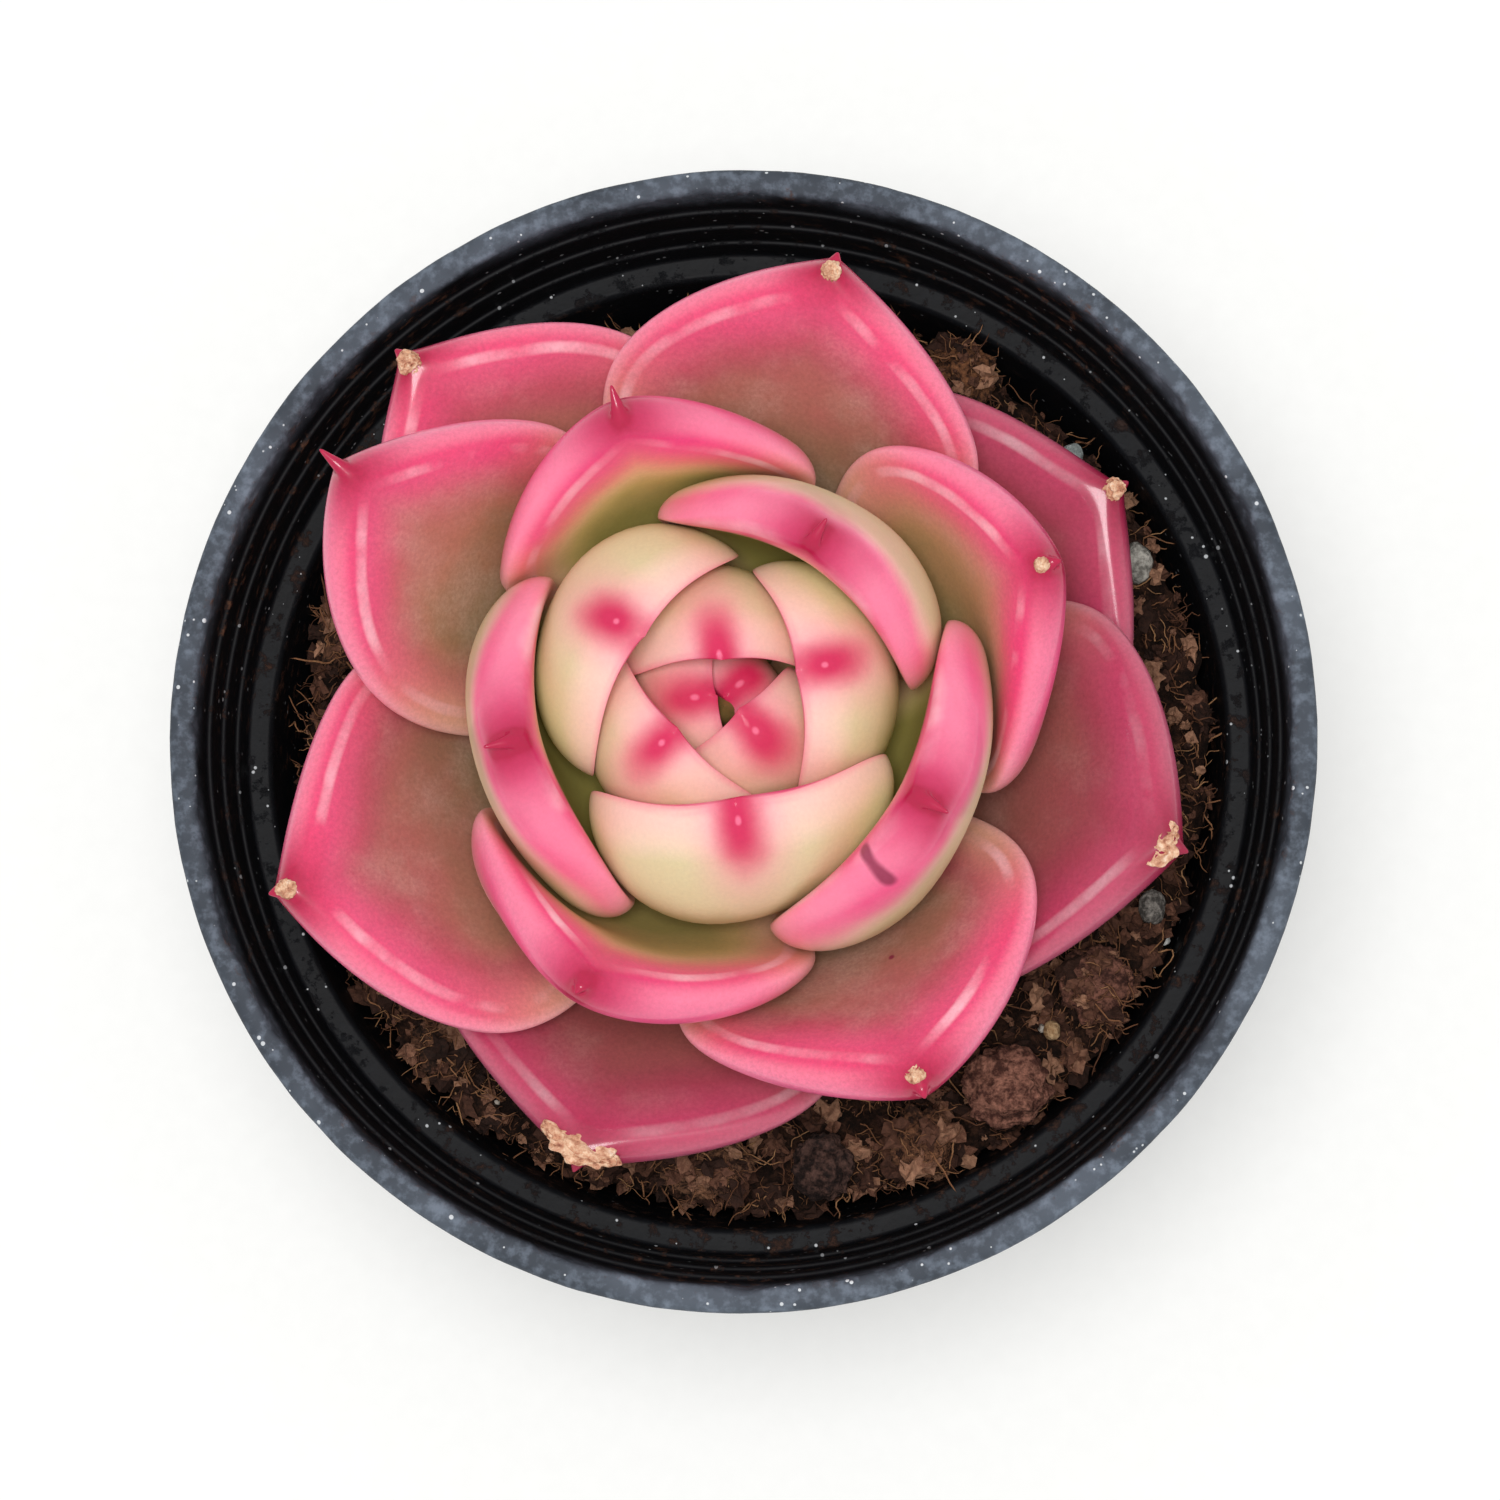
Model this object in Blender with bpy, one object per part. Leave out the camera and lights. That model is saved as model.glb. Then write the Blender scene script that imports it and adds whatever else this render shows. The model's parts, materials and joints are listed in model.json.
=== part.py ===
"""A rosette succulent growing in a small round nursery pot.

Millimetre sizes are multiplied by MM. The origin is the centre of the pot's foot, +Z is up.
Leaves are numbered from the youngest, at the heart of the rosette, to the oldest, at its skirt.
"""

import math

import bpy
import bmesh
import numpy as np
from mathutils import Vector
from mathutils.bvhtree import BVHTree

MM = 0.001

# ---------------------------------------------------------------- driving dimensions

GAP = 0.3 * MM

POT_SEGMENTS = 64

SOIL_LEVEL = 57.4 * MM
SOIL_RISE = 3.0 * MM
STEM_TOP = 77 * MM
STEM_RISE = 9 * MM
PLANT_CENTRE = Vector((-0.6 * MM, 1.8 * MM, 0))

DIVERGENCE = 136.8
FIRST_LEAF_ANGLE = 44.0
LEAF_COUNT = 22

# ---------------------------------------------------------------- small helpers


def finish_object(name, mesh, colour, roughness, metallic=0.0):
    """A named object in the scene with its own material."""
    material = bpy.data.materials.new(name + "_finish")
    material.use_nodes = True
    shader = material.node_tree.nodes["Principled BSDF"]
    shader.inputs["Base Color"].default_value = (*colour, 1)
    shader.inputs["Roughness"].default_value = roughness
    shader.inputs["Metallic"].default_value = metallic
    mesh.materials.append(material)
    mesh.shade_smooth()
    mesh.set_sharp_from_angle(angle=math.radians(40))
    obj = bpy.data.objects.new(name, mesh)
    bpy.context.scene.collection.objects.link(obj)
    return obj


def mesh_from(name, points, faces):
    mesh = bpy.data.meshes.new(name)
    mesh.from_pydata([tuple(p) for p in points], [], faces)
    mesh.validate()
    return mesh


def closed_rings(rings, start, end):
    """Points and faces of a body lofted through rings of equal length, closed by a fan at each end."""
    count = len(rings[0])
    points = [start]
    faces = []
    for ring in rings:
        points += ring
    points.append(end)
    last = len(points) - 1
    for j in range(count):
        k = (j + 1) % count
        faces.append((0, 1 + k, 1 + j))
        for i in range(len(rings) - 1):
            a = 1 + i * count
            faces.append((a + j, a + k, a + count + k, a + count + j))
        a = 1 + (len(rings) - 1) * count
        faces.append((a + j, a + k, last))
    return points, faces


def circle(centre, radius, height, count, wobble=None):
    """A ring of points, its radius and height varied by wobble(angle)."""
    ring = []
    for j in range(count):
        angle = 2 * math.pi * j / count
        out, up = wobble(angle) if wobble else (0.0, 0.0)
        r = radius + out
        ring.append((centre.x + r * math.cos(angle), centre.y + r * math.sin(angle), height + up))
    return ring


# ---------------------------------------------------------------- leaves

YOUNG_COLOUR = (0.62, 0.58, 0.33)
OLD_COLOUR = (0.62, 0.07, 0.13)
BLADE_STEPS = 10
SPINE_STEPS = 2
ACROSS_STEPS = 8
WIDEST_AT = 0.60
BASE_WIDTH_SHARE = 0.22
SPINE_RADIUS = 0.6 * MM
SPIKE_LENGTH = 2.2 * MM
NUB_LENGTH = 0.8 * MM
BUD_NUB_LENGTH = 0.7 * MM
SPINE_RECURVE = 0.25
LEAF_GAP = 0.34 * MM
PRESS_ROUNDS = 3
PRESS_SAMPLES = 4
REACH_BEHIND = 20 * MM
CURL_SHARE = 0.85

# One row for each leaf, youngest first: turn off the spiral (degrees), blade length, width and thickness
# (millimetres), angle above level at the base and at the tip, half-angle wrapped across the blade, and
# sideways sweep of the tip (degrees).
LEAVES = [
    (-4, 9.5, 11, 4.4, 66, 106, 52, 0),
    (5, 11.5, 11.5, 3.8, 50, 112, 54, 0),
    (-8, 14, 12, 4.2, 30, 114, 56, 0),
    (0, 18, 15.5, 4.6, 15, 118, 58, 0),
    (-9, 19, 17.5, 5.0, 10, 111, 58, 0),
    (4, 21, 20, 5.4, 5, 109, 58, 0),
    (3, 23, 21, 4.8, 0, 109, 58, 0),
    (-4, 24, 23.5, 5.8, 0, 104, 58, 0),
    (-2, 27, 24, 5.0, 0, 94, 56, 0),
    (0, 27.5, 24.5, 5.2, 0, 84, 54, 0),
    (-2, 29, 26, 5.4, 0, 82, 52, 0),
    (3, 30, 25, 4.8, 0, 70, 46, -6),
    (3, 32, 27.5, 4.8, 0, 66, 44, -12),
    (2, 31, 28, 4.8, 0, 58, 38, -12),
    (-5, 38, 26, 5.0, 0, 54, 34, -14),
    (3, 36, 30, 5.0, 0, 48, 32, -8),
    (6, 35, 30.5, 5.0, 0, 42, 28, -9),
    (-2, 37, 32, 5.0, 0, 38, 26, -12),
    (-2, 34.5, 31.5, 5.0, 0, 32, 25, -8),
    (7, 35, 28.5, 4.8, 0, 30, 24, 8),
    (-7, 34, 33, 4.8, 0, 26, 22, -4),
    (-7, 31, 32, 4.8, 0, 22, 22, 0),
]
# The leaves whose tips still carry a long fresh spine; on the others it has dried to a nub.
SPIKED_LEAVES = (9, 10, 11, 12, 15)


def half_width_share(u, lean):
    """Outline of the blade: 1 at its widest, 0 at the tip, which is drawn out where the leaf lies open."""
    if u <= WIDEST_AT:
        return BASE_WIDTH_SHARE + (1 - BASE_WIDTH_SHARE) * math.sin(math.pi / 2 * u / WIDEST_AT) ** 1.3
    x = min(1.0, (u - WIDEST_AT) / (1 - WIDEST_AT))
    return (1 - x ** (2.1 + 0.3 * lean)) ** (1.1 - 0.15 * lean)


def thickness_share(u, openness):
    """Share of the full thickness, which thins towards the tip, most of all on a closed leaf."""
    if u <= WIDEST_AT:
        return 0.34 + 0.66 * math.sin(math.pi / 2 * u / WIDEST_AT)
    x = min(1.0, (u - WIDEST_AT) / (1 - WIDEST_AT))
    return (1 - x ** (3 + 2 * openness)) ** (0.8 - 0.3 * openness)


def refine(grid):
    """The grid with PRESS_SAMPLES steps in place of each of its own, in both directions."""
    for axis in (0, 1):
        first = grid if axis == 0 else np.swapaxes(grid, 0, 1)
        stride = (first[1:] - first[:-1]) / PRESS_SAMPLES
        fine = np.stack([first[:-1] + stride * i for i in range(PRESS_SAMPLES)], axis=1)
        fine = fine.reshape(-1, *first.shape[1:])
        fine = np.concatenate([fine, first[-1:]])
        grid = fine if axis == 0 else np.swapaxes(fine, 0, 1)
    return grid


class Leaf:
    """A leaf's middle surface, as a grid of points with normals, and its thickness above and below that."""

    def __init__(self, number):
        turn, length, width, thick, base_angle, tip_angle, wrap, sweep = LEAVES[number - 1]
        length *= MM
        width *= MM
        thick *= MM
        spine = SPIKE_LENGTH if number in SPIKED_LEAVES else NUB_LENGTH if number > 8 else BUD_NUB_LENGTH
        self.number = number
        self.azimuth = math.radians(FIRST_LEAF_ANGLE + DIVERGENCE * (number - 1) + turn)
        along = [length * (i / BLADE_STEPS) ** 0.9 for i in range(BLADE_STEPS)]
        along += [length * 0.985] + [length + spine * i / SPINE_STEPS for i in range(SPINE_STEPS + 1)]
        across = [math.sin(math.pi / 2 * (2 * j / ACROSS_STEPS - 1)) for j in range(ACROSS_STEPS + 1)]
        radius, height = attachment(number)
        curvature = math.radians(wrap) / (width / 2)
        lean = min(1.0, max(0.0, (tip_angle - 75) / 35))
        openness = min(1.0, max(0.0, (number - 7.5) / 2))
        inner_share = 0.45 + 0.4 * openness
        centre, normal_in, upper, lower = [], [], [], []
        place = Vector((radius, 0, height))
        before = 0.0
        for l in along:
            u = min(1.0, l / length)
            curl = math.sin(math.pi / 2 * min(1.0, u / CURL_SHARE))
            angle = math.radians(base_angle + (tip_angle - base_angle) * curl)
            if l > length:
                angle = math.radians(tip_angle * (SPINE_RECURVE if number > 8 else 0.9))
            side = math.radians(sweep) * u**1.5
            level = math.cos(angle)
            forward = Vector((level * math.cos(side), level * math.sin(side), math.sin(angle)))
            sideways = Vector((-math.sin(side), math.cos(side), 0))
            inward = forward.cross(sideways)
            place = place + forward * (l - before)
            before = l
            taper = 1.0 if l <= length else (1 - (l - length) / spine * 0.7)
            tip_radius = SPINE_RADIUS * taper * (1.0 if number > 8 else 0.8)
            half = math.hypot(width / 2 * half_width_share(u, lean), tip_radius)
            deep = math.hypot(thick / 2 * thickness_share(u, openness), tip_radius)
            spiny = max(0.0, (u - WIDEST_AT) / (1 - WIDEST_AT)) ** 8
            power = 2 + 1.2 * openness * (1 - spiny)
            sharpness = 0.5 + (0.2 - 0.13 * openness) * (1 - spiny)
            row_c, row_n, row_up, row_lo = [], [], [], []
            for s in across:
                bend = curvature * half * s
                rim_in = (1 - math.cos(bend)) / curvature
                row_c.append(place + sideways * (math.sin(bend) / curvature) + inward * rim_in)
                row_n.append(inward * math.cos(bend) - sideways * math.sin(bend))
                body = max(0.0, 1 - abs(s) ** power) ** sharpness
                row_up.append(deep * body * inner_share)
                row_lo.append(deep * body * (2 - inner_share))
            centre.append(row_c)
            normal_in.append(row_n)
            upper.append(row_up)
            lower.append(row_lo)
        self.centre = np.array(centre)
        self.normal = np.array(normal_in)
        self.upper = np.array(upper)
        self.lower = np.array(lower)
        c, s = math.cos(self.azimuth), math.sin(self.azimuth)
        spin = np.array([[c, -s, 0], [s, c, 0], [0, 0, 1]])
        self.centre = self.centre @ spin.T + np.array(PLANT_CENTRE)
        self.normal = self.normal @ spin.T

    def press_against(self, inner):
        """Bends the blade away from the younger leaves that it would run into."""
        rows, cols = self.upper.shape
        k = PRESS_SAMPLES
        for _ in range(PRESS_ROUNDS):
            fine_centre = refine(self.centre)
            fine_normal = refine(self.normal)
            fine_upper = refine(self.upper)
            fine_need = np.zeros(fine_upper.shape)
            for i, j in np.ndindex(*fine_need.shape):
                n = Vector(fine_normal[i, j]).normalized()
                start = Vector(fine_centre[i, j]) - n * REACH_BEHIND
                hit, _, _, distance = inner.ray_cast(start, n, 2 * REACH_BEHIND)
                if hit is not None:
                    fine_need[i, j] = max(0.0, fine_upper[i, j] + LEAF_GAP - (distance - REACH_BEHIND))
            fine_need[-SPINE_STEPS * k:] = 0.0
            need = np.zeros((rows, cols))
            for i, j in np.ndindex(rows, cols):
                near = fine_need[max(0, (i - 1) * k + 1):(i + 1) * k, max(0, (j - 1) * k + 1):(j + 1) * k]
                need[i, j] = near.max()
            move = need.copy()
            for _ in range(14):
                padded = np.pad(move, 1, mode="edge")
                mean = (padded[:-2, 1:-1] + padded[2:, 1:-1] + padded[1:-1, :-2] + padded[1:-1, 2:]) / 4
                move = np.maximum(need, 0.985 * mean)
            shift = self.normal * move[:, :, None]
            shift[-SPINE_STEPS:] = shift[-SPINE_STEPS - 1]
            self.centre -= shift

    def shell(self):
        """Points and faces of the closed leaf."""
        rows, cols = self.upper.shape
        points = []
        for i in range(rows):
            top = self.centre[i] + self.normal[i] * self.upper[i][:, None]
            under = self.centre[i] - self.normal[i] * self.lower[i][:, None]
            points += list(top) + list(under[-2:0:-1])
        ring = 2 * cols - 2
        faces = []
        for i in range(rows - 1):
            for j in range(ring):
                a, b = i * ring + j, i * ring + (j + 1) % ring
                faces.append((a, a + ring, b + ring, b))
        faces.append(tuple(range(ring)))
        faces.append(tuple(reversed(range((rows - 1) * ring, rows * ring))))
        return points, faces


def attachment(number):
    """Radius and height at which a leaf leaves the stem."""
    share = (number - 1) / (LEAF_COUNT - 1)
    radius = (0.6 + 4.6 * share**0.6) * MM
    height = STEM_TOP - STEM_RISE * share
    return radius, height


def grow_rosette():
    """Every leaf, youngest first, each pressed against the ones inside it. Returns the leaves' shells."""
    shells = []
    points_all, faces_all = [], []
    for number in range(1, LEAF_COUNT + 1):
        leaf = Leaf(number)
        if shells:
            inner = BVHTree.FromPolygons(points_all, faces_all)
            leaf.press_against(inner)
        points, faces = leaf.shell()
        offset = len(points_all)
        points_all += [tuple(p) for p in points]
        faces_all += [tuple(offset + i for i in f) for f in faces]
        age = (number - 1) / (LEAF_COUNT - 1)
        colour = tuple(y + (o - y) * age for y, o in zip(YOUNG_COLOUR, OLD_COLOUR))
        finish_object(f"leaf_{number:02d}", mesh_from(f"leaf_{number:02d}", points, faces), colour, 0.4)
        shells.append(np.array([tuple(p) for p in points]))
    return shells


# ---------------------------------------------------------------- stem

STEM_SEGMENTS = 12
STEM_LEVELS = 10
STEM_FOOT = 51 * MM
STEM_CROWN = 74 * MM
STEM_RADIUS = 4.6 * MM
STEM_REACH = 1.6 * MM


def grow_stem(shells):
    """The short stem that fills the space inside the leaf bases and roots in the soil."""
    cloud = np.concatenate(shells)
    distance = np.hypot(cloud[:, 0] - PLANT_CENTRE.x, cloud[:, 1] - PLANT_CENTRE.y)
    rings = []
    for i in range(STEM_LEVELS + 1):
        z = STEM_FOOT + (STEM_CROWN - STEM_FOOT) * i / STEM_LEVELS
        near = np.abs(cloud[:, 2] - z) < STEM_REACH
        room = distance[near].min() - GAP if near.any() else STEM_RADIUS
        rings.append(circle(PLANT_CENTRE, min(STEM_RADIUS, room), z, STEM_SEGMENTS))
    start = (PLANT_CENTRE.x, PLANT_CENTRE.y, STEM_FOOT - 1 * MM)
    end = (PLANT_CENTRE.x, PLANT_CENTRE.y, STEM_CROWN + 0.4 * MM)
    points, faces = closed_rings(rings, start, end)
    finish_object("stem", mesh_from("stem", points, faces), (0.23, 0.13, 0.07), 0.8)


# ---------------------------------------------------------------- pot

DRAIN_RADIUS = 3.2 * MM
DRAIN_CIRCLE = 19 * MM
DRAIN_COUNT = 6

# The turned outline in millimetres (radius, height), up the outside, over the rim and down the inside:
# foot ring, plain body, collar, rolled rim, then the stepped inside of the collar, the ledge and the floor.
POT_OUTLINE = [
    (28.5, 1.6), (28.5, 0.0), (31.1, 0.0), (31.5, 0.5), (39.6, 61.7), (41.9, 61.7), (43.9, 72.4),
    (44.6, 72.6), (45.0, 73.1), (45.0, 74.4), (44.8, 74.8), (44.4, 75.0), (43.3, 75.0), (43.0, 74.7),
    (42.5, 71.7), (42.1, 71.7), (41.9, 68.5), (41.5, 68.5), (41.3, 65.2), (40.9, 65.2), (40.6, 62.7),
    (38.9, 62.7), (38.6, 62.3), (30.8, 3.8), (30.0, 3.0),
]
FLOOR_TOP = 3.0 * MM
FLOOR_UNDER = 2.1 * MM


def make_pot():
    """The thin-walled moulded pot: a turned shell with round drain holes through its floor."""
    centre = Vector((0, 0, 0))
    rings = [circle(centre, r * MM, FLOOR_UNDER, POT_SEGMENTS) for r in (12, 28)]
    rings += [circle(centre, r * MM, z * MM, POT_SEGMENTS) for r, z in POT_OUTLINE]
    rings.append(circle(centre, 12 * MM, FLOOR_TOP, POT_SEGMENTS))
    points, faces = closed_rings(rings, (0, 0, FLOOR_UNDER), (0, 0, FLOOR_TOP))
    pot = finish_object("pot", mesh_from("pot", points, faces), (0.012, 0.012, 0.014), 0.45)
    for number in range(DRAIN_COUNT):
        angle = 2 * math.pi * (number + 0.5) / DRAIN_COUNT
        bm = bmesh.new()
        bmesh.ops.create_cone(
            bm, cap_ends=True, segments=16, radius1=DRAIN_RADIUS, radius2=DRAIN_RADIUS, depth=6 * MM
        )
        mesh = bpy.data.meshes.new(f"drain_cutter_{number + 1}")
        bm.to_mesh(mesh)
        bm.free()
        cutter = bpy.data.objects.new(mesh.name, mesh)
        cutter.location = (DRAIN_CIRCLE * math.cos(angle), DRAIN_CIRCLE * math.sin(angle), FLOOR_TOP)
        cutter.rotation_euler.z = angle + 0.1
        cutter.hide_render = True
        cutter.display_type = "WIRE"
        bpy.context.scene.collection.objects.link(cutter)
        hole = pot.modifiers.new(cutter.name, "BOOLEAN")
        hole.operation = "DIFFERENCE"
        hole.solver = "EXACT"
        hole.object = cutter


# ---------------------------------------------------------------- soil

SOIL_SEGMENTS = 40
SOIL_FOOT_RADIUS = 29.6 * MM
SOIL_TOP_RADIUS = 37.3 * MM
SOIL_HOLE_RADIUS = 4.9 * MM
SOIL_HOLE_FLOOR = 49 * MM


def soil_height(x, y):
    """Height of the uneven soil surface, a little higher towards the pot's front right wall."""
    r = math.hypot(x, y)
    ramp = min(1.0, max(0.0, (r - 22 * MM) / (9 * MM)))
    slope = 0.5 * MM * (x - y) / (38 * MM)
    waves = math.sin(x / (3.1 * MM) + 1.3) * math.cos(y / (3.7 * MM)) + 0.6 * math.sin((x + y) / (2.3 * MM))
    return SOIL_LEVEL + ramp * (SOIL_RISE + slope + 0.35 * MM * waves)


def soil_margin(angle):
    """The soil has shrunk from the wall by an uneven gap, widest at the back left."""
    shrink = 0.55 * MM * math.cos(angle - math.radians(315)) + 0.25 * MM * math.sin(5 * angle + 0.7)
    return shrink, 0.0


def make_soil():
    """The root ball of potting mix, with a socket for the stem."""
    axis = Vector((0, 0, 0))
    rings = [circle(axis, SOIL_FOOT_RADIUS, FLOOR_TOP + GAP + 0.4 * MM, SOIL_SEGMENTS)]
    rings.append(circle(axis, SOIL_TOP_RADIUS - 1.2 * MM, SOIL_LEVEL - 6 * MM, SOIL_SEGMENTS))
    shoulder = SOIL_LEVEL - 1.2 * MM
    rings.append(circle(axis, SOIL_TOP_RADIUS - 0.3 * MM, shoulder, SOIL_SEGMENTS, soil_margin))
    for share in (1.0, 0.9, 0.8, 0.66, 0.4):
        radius = SOIL_HOLE_RADIUS + (SOIL_TOP_RADIUS - 0.6 * MM - SOIL_HOLE_RADIUS) * share
        centre = PLANT_CENTRE.lerp(axis, share)
        flat = circle(centre, radius, 0, SOIL_SEGMENTS, soil_margin)
        rings.append([(x, y, soil_height(x, y)) for x, y, _ in flat])
    rings.append(circle(PLANT_CENTRE, SOIL_HOLE_RADIUS, SOIL_LEVEL, SOIL_SEGMENTS))
    rings.append(circle(PLANT_CENTRE, SOIL_HOLE_RADIUS, SOIL_HOLE_FLOOR, SOIL_SEGMENTS))
    start = (0, 0, FLOOR_TOP + GAP)
    end = (PLANT_CENTRE.x, PLANT_CENTRE.y, SOIL_HOLE_FLOOR)
    points, faces = closed_rings(rings, start, end)
    finish_object("soil", mesh_from("soil", points, faces), (0.07, 0.035, 0.018), 0.95)


# ---------------------------------------------------------------- lumps and grit on the soil

PEBBLE_BROWN = (0.16, 0.07, 0.045)
PEAT_BROWN = (0.12, 0.06, 0.03)
PALE = (0.62, 0.60, 0.56)
TAN = (0.45, 0.28, 0.15)

# name, place (x, y), size (x, y, z), turn in degrees, colour; millimetres
LUMPS = [
    ("clay_pebble", 21.3, -27.3, 7.2, 6.6, 5.4, 20, PEBBLE_BROWN),
    ("bark_chunk", 6.2, -33.8, 5.2, 5.0, 4.0, 10, (0.07, 0.035, 0.03)),
    ("peat_lump_1", -3.8, -33.6, 8.2, 5.4, 4.6, 5, PEAT_BROWN),
    ("peat_lump_2", 13.8, -31.6, 5.8, 5.4, 4.6, 40, PEAT_BROWN),
    ("peat_lump_3", 28.2, -19.2, 6.4, 5.6, 4.4, 60, PEBBLE_BROWN),
    ("peat_lump_4", 17.8, 30.4, 4.6, 5.6, 4.0, 30, PEAT_BROWN),
    ("peat_lump_5", -24.8, -23.7, 5.4, 4.8, 3.6, 130, PEAT_BROWN),
    ("peat_lump_6", -32.8, 9.8, 4.4, 6.2, 3.8, 0, PEAT_BROWN),
    ("grit_white_1", 12.0, 34.6, 1.9, 2.1, 1.7, 15, PALE),
    ("grit_white_2", 26.4, 24.0, 2.4, 2.1, 1.8, 50, PALE),
    ("grit_white_3", 31.6, 15.2, 2.6, 4.0, 2.0, 15, PALE),
    ("grit_grey", 32.6, -12.8, 3.4, 2.6, 2.2, 70, (0.3, 0.29, 0.28)),
    ("grit_tan_1", 24.5, -22.7, 1.7, 1.9, 1.6, 0, TAN),
    ("grit_tan_2", 15.4, 33.0, 1.9, 1.6, 1.5, 80, TAN),
]


def make_lump(index, name, x, y, size_x, size_y, size_z, turn, colour):
    """A rounded irregular lump that rests on the soil surface."""
    bm = bmesh.new()
    bmesh.ops.create_icosphere(bm, subdivisions=2 if size_x > 4 else 1, radius=0.5)
    spin = math.radians(turn)
    for v in bm.verts:
        p = v.co
        bump = 1 + 0.10 * math.sin(9 * p.x + index) + 0.08 * math.sin(11 * p.y + 2 * index + 4 * p.z)
        px, py, pz = p.x * size_x * bump, p.y * size_y * bump, p.z * size_z * bump
        v.co.x = (x + px * math.cos(spin) - py * math.sin(spin)) * MM
        v.co.y = (y + px * math.sin(spin) + py * math.cos(spin)) * MM
        v.co.z = pz * MM
    lift = max(soil_height(v.co.x, v.co.y) - v.co.z for v in bm.verts if v.co.z < 0)
    for v in bm.verts:
        v.co.z += lift + GAP
    mesh = bpy.data.meshes.new(name)
    bm.to_mesh(mesh)
    bm.free()
    finish_object(name, mesh, colour, 0.9)


def clear_scene():
    for obj in list(bpy.data.objects):
        bpy.data.objects.remove(obj)


clear_scene()
make_pot()
make_soil()
grow_stem(grow_rosette())
for lump_index, lump_row in enumerate(LUMPS):
    make_lump(lump_index, *lump_row)
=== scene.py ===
"""A rosette succulent with pink margins, growing in a small round nursery pot.

MM turns millimetres into metres. The origin is the centre of the pot's foot, and +Z is up.
"""

import json
import math

import bmesh
import bpy
import numpy as np
from mathutils import Matrix, Vector, noise
from mathutils.bvhtree import BVHTree

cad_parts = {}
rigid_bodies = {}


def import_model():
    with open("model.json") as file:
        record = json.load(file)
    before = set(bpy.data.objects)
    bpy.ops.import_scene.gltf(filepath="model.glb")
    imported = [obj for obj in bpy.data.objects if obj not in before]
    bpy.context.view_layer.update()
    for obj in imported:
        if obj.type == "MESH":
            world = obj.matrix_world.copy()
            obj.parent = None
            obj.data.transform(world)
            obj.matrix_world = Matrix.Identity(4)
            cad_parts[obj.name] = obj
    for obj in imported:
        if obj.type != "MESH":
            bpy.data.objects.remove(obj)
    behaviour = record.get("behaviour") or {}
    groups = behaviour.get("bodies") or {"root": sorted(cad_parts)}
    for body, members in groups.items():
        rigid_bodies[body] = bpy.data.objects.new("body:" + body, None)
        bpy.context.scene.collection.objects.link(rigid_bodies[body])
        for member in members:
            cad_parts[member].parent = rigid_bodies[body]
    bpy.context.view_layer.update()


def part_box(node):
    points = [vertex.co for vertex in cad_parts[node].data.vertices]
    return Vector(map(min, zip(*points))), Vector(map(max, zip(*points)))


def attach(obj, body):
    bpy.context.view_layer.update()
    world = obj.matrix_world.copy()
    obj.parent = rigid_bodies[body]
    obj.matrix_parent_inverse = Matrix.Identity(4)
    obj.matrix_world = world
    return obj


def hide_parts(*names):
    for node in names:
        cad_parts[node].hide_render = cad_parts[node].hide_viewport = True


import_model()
MM = 0.001

# ---------- pot
# A thin black polypropylene nursery pot, moulded in one piece: a tapering body, a collar with a rolled rim,
# four shallow steps inside the collar, a soil ledge and a floor with round drain holes. The wall is turned
# from its outline, and the rim wanders a little as it does on a pot that was broken out of its mould.


class Reading:
    """A socket's value. Arithmetic on it adds Math nodes to the tree that it belongs to."""

    def __init__(self, recipe, socket):
        self.recipe = recipe
        self.socket = socket

    def maths(self, operation, first, second=0.0):
        return self.recipe.node("ShaderNodeMath", {"operation": operation}, {0: first, 1: second})

    def __add__(self, other):
        return self.maths("ADD", self, other)

    __radd__ = __add__

    def __sub__(self, other):
        return self.maths("SUBTRACT", self, other)

    def __rsub__(self, other):
        return self.maths("SUBTRACT", other, self)

    def __mul__(self, other):
        return self.maths("MULTIPLY", self, other)

    __rmul__ = __mul__

    def __truediv__(self, other):
        return self.maths("DIVIDE", self, other)

    def __pow__(self, other):
        return self.maths("POWER", self, other)

    def at_least(self, other):
        return self.maths("MAXIMUM", self, other)

    def at_most(self, other):
        return self.maths("MINIMUM", self, other)

    def hypot(self, other):
        return (self * self + other * other) ** 0.5

    def rise(self, low, high):
        """0 below low, 1 above high, and smooth between them."""
        settings = {"interpolation_type": "SMOOTHSTEP"}
        return self.recipe.node("ShaderNodeMapRange", settings, {0: self, 1: low, 2: high})

    def fall(self, low, high):
        return 1 - self.rise(low, high)

    def other(self, output):
        """Another output of the same node."""
        return Reading(self.recipe, self.socket.node.outputs[output])


class Recipe:
    """The nodes of one material or of one geometry tree."""

    def __init__(self, tree):
        self.tree = tree

    def node(self, kind, settings=None, values=None, out=0):
        """Adds a node: its settings first, then the value or link of each of its sockets."""
        made = self.tree.nodes.new(kind)
        for name, setting in (settings or {}).items():
            if name == "stops":
                ramp = made.color_ramp
                while len(ramp.elements) < len(setting):
                    ramp.elements.new(1.0)
                for element, (position, colour) in zip(ramp.elements, setting):
                    element.position = position
                    element.color = as_colour(colour)
            else:
                setattr(made, name, setting)
        for name, value in (values or {}).items():
            if isinstance(value, Reading):
                self.tree.links.new(value.socket, made.inputs[name])
            else:
                made.inputs[name].default_value = as_colour(value)
        return Reading(self, made.outputs[out])

    def vector(self, **axes):
        return self.node("ShaderNodeCombineXYZ", None, axes)


def paint(code, share=1.0):
    """A linear colour from a #RRGGBB code, darkened to that share."""
    channels = [int(code[i:i + 2], 16) / 255 for i in (1, 3, 5)]
    linear = [c / 12.92 if c <= 0.04045 else ((c + 0.055) / 1.055) ** 2.4 for c in channels]
    return (*[c * share for c in linear], 1.0)


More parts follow.
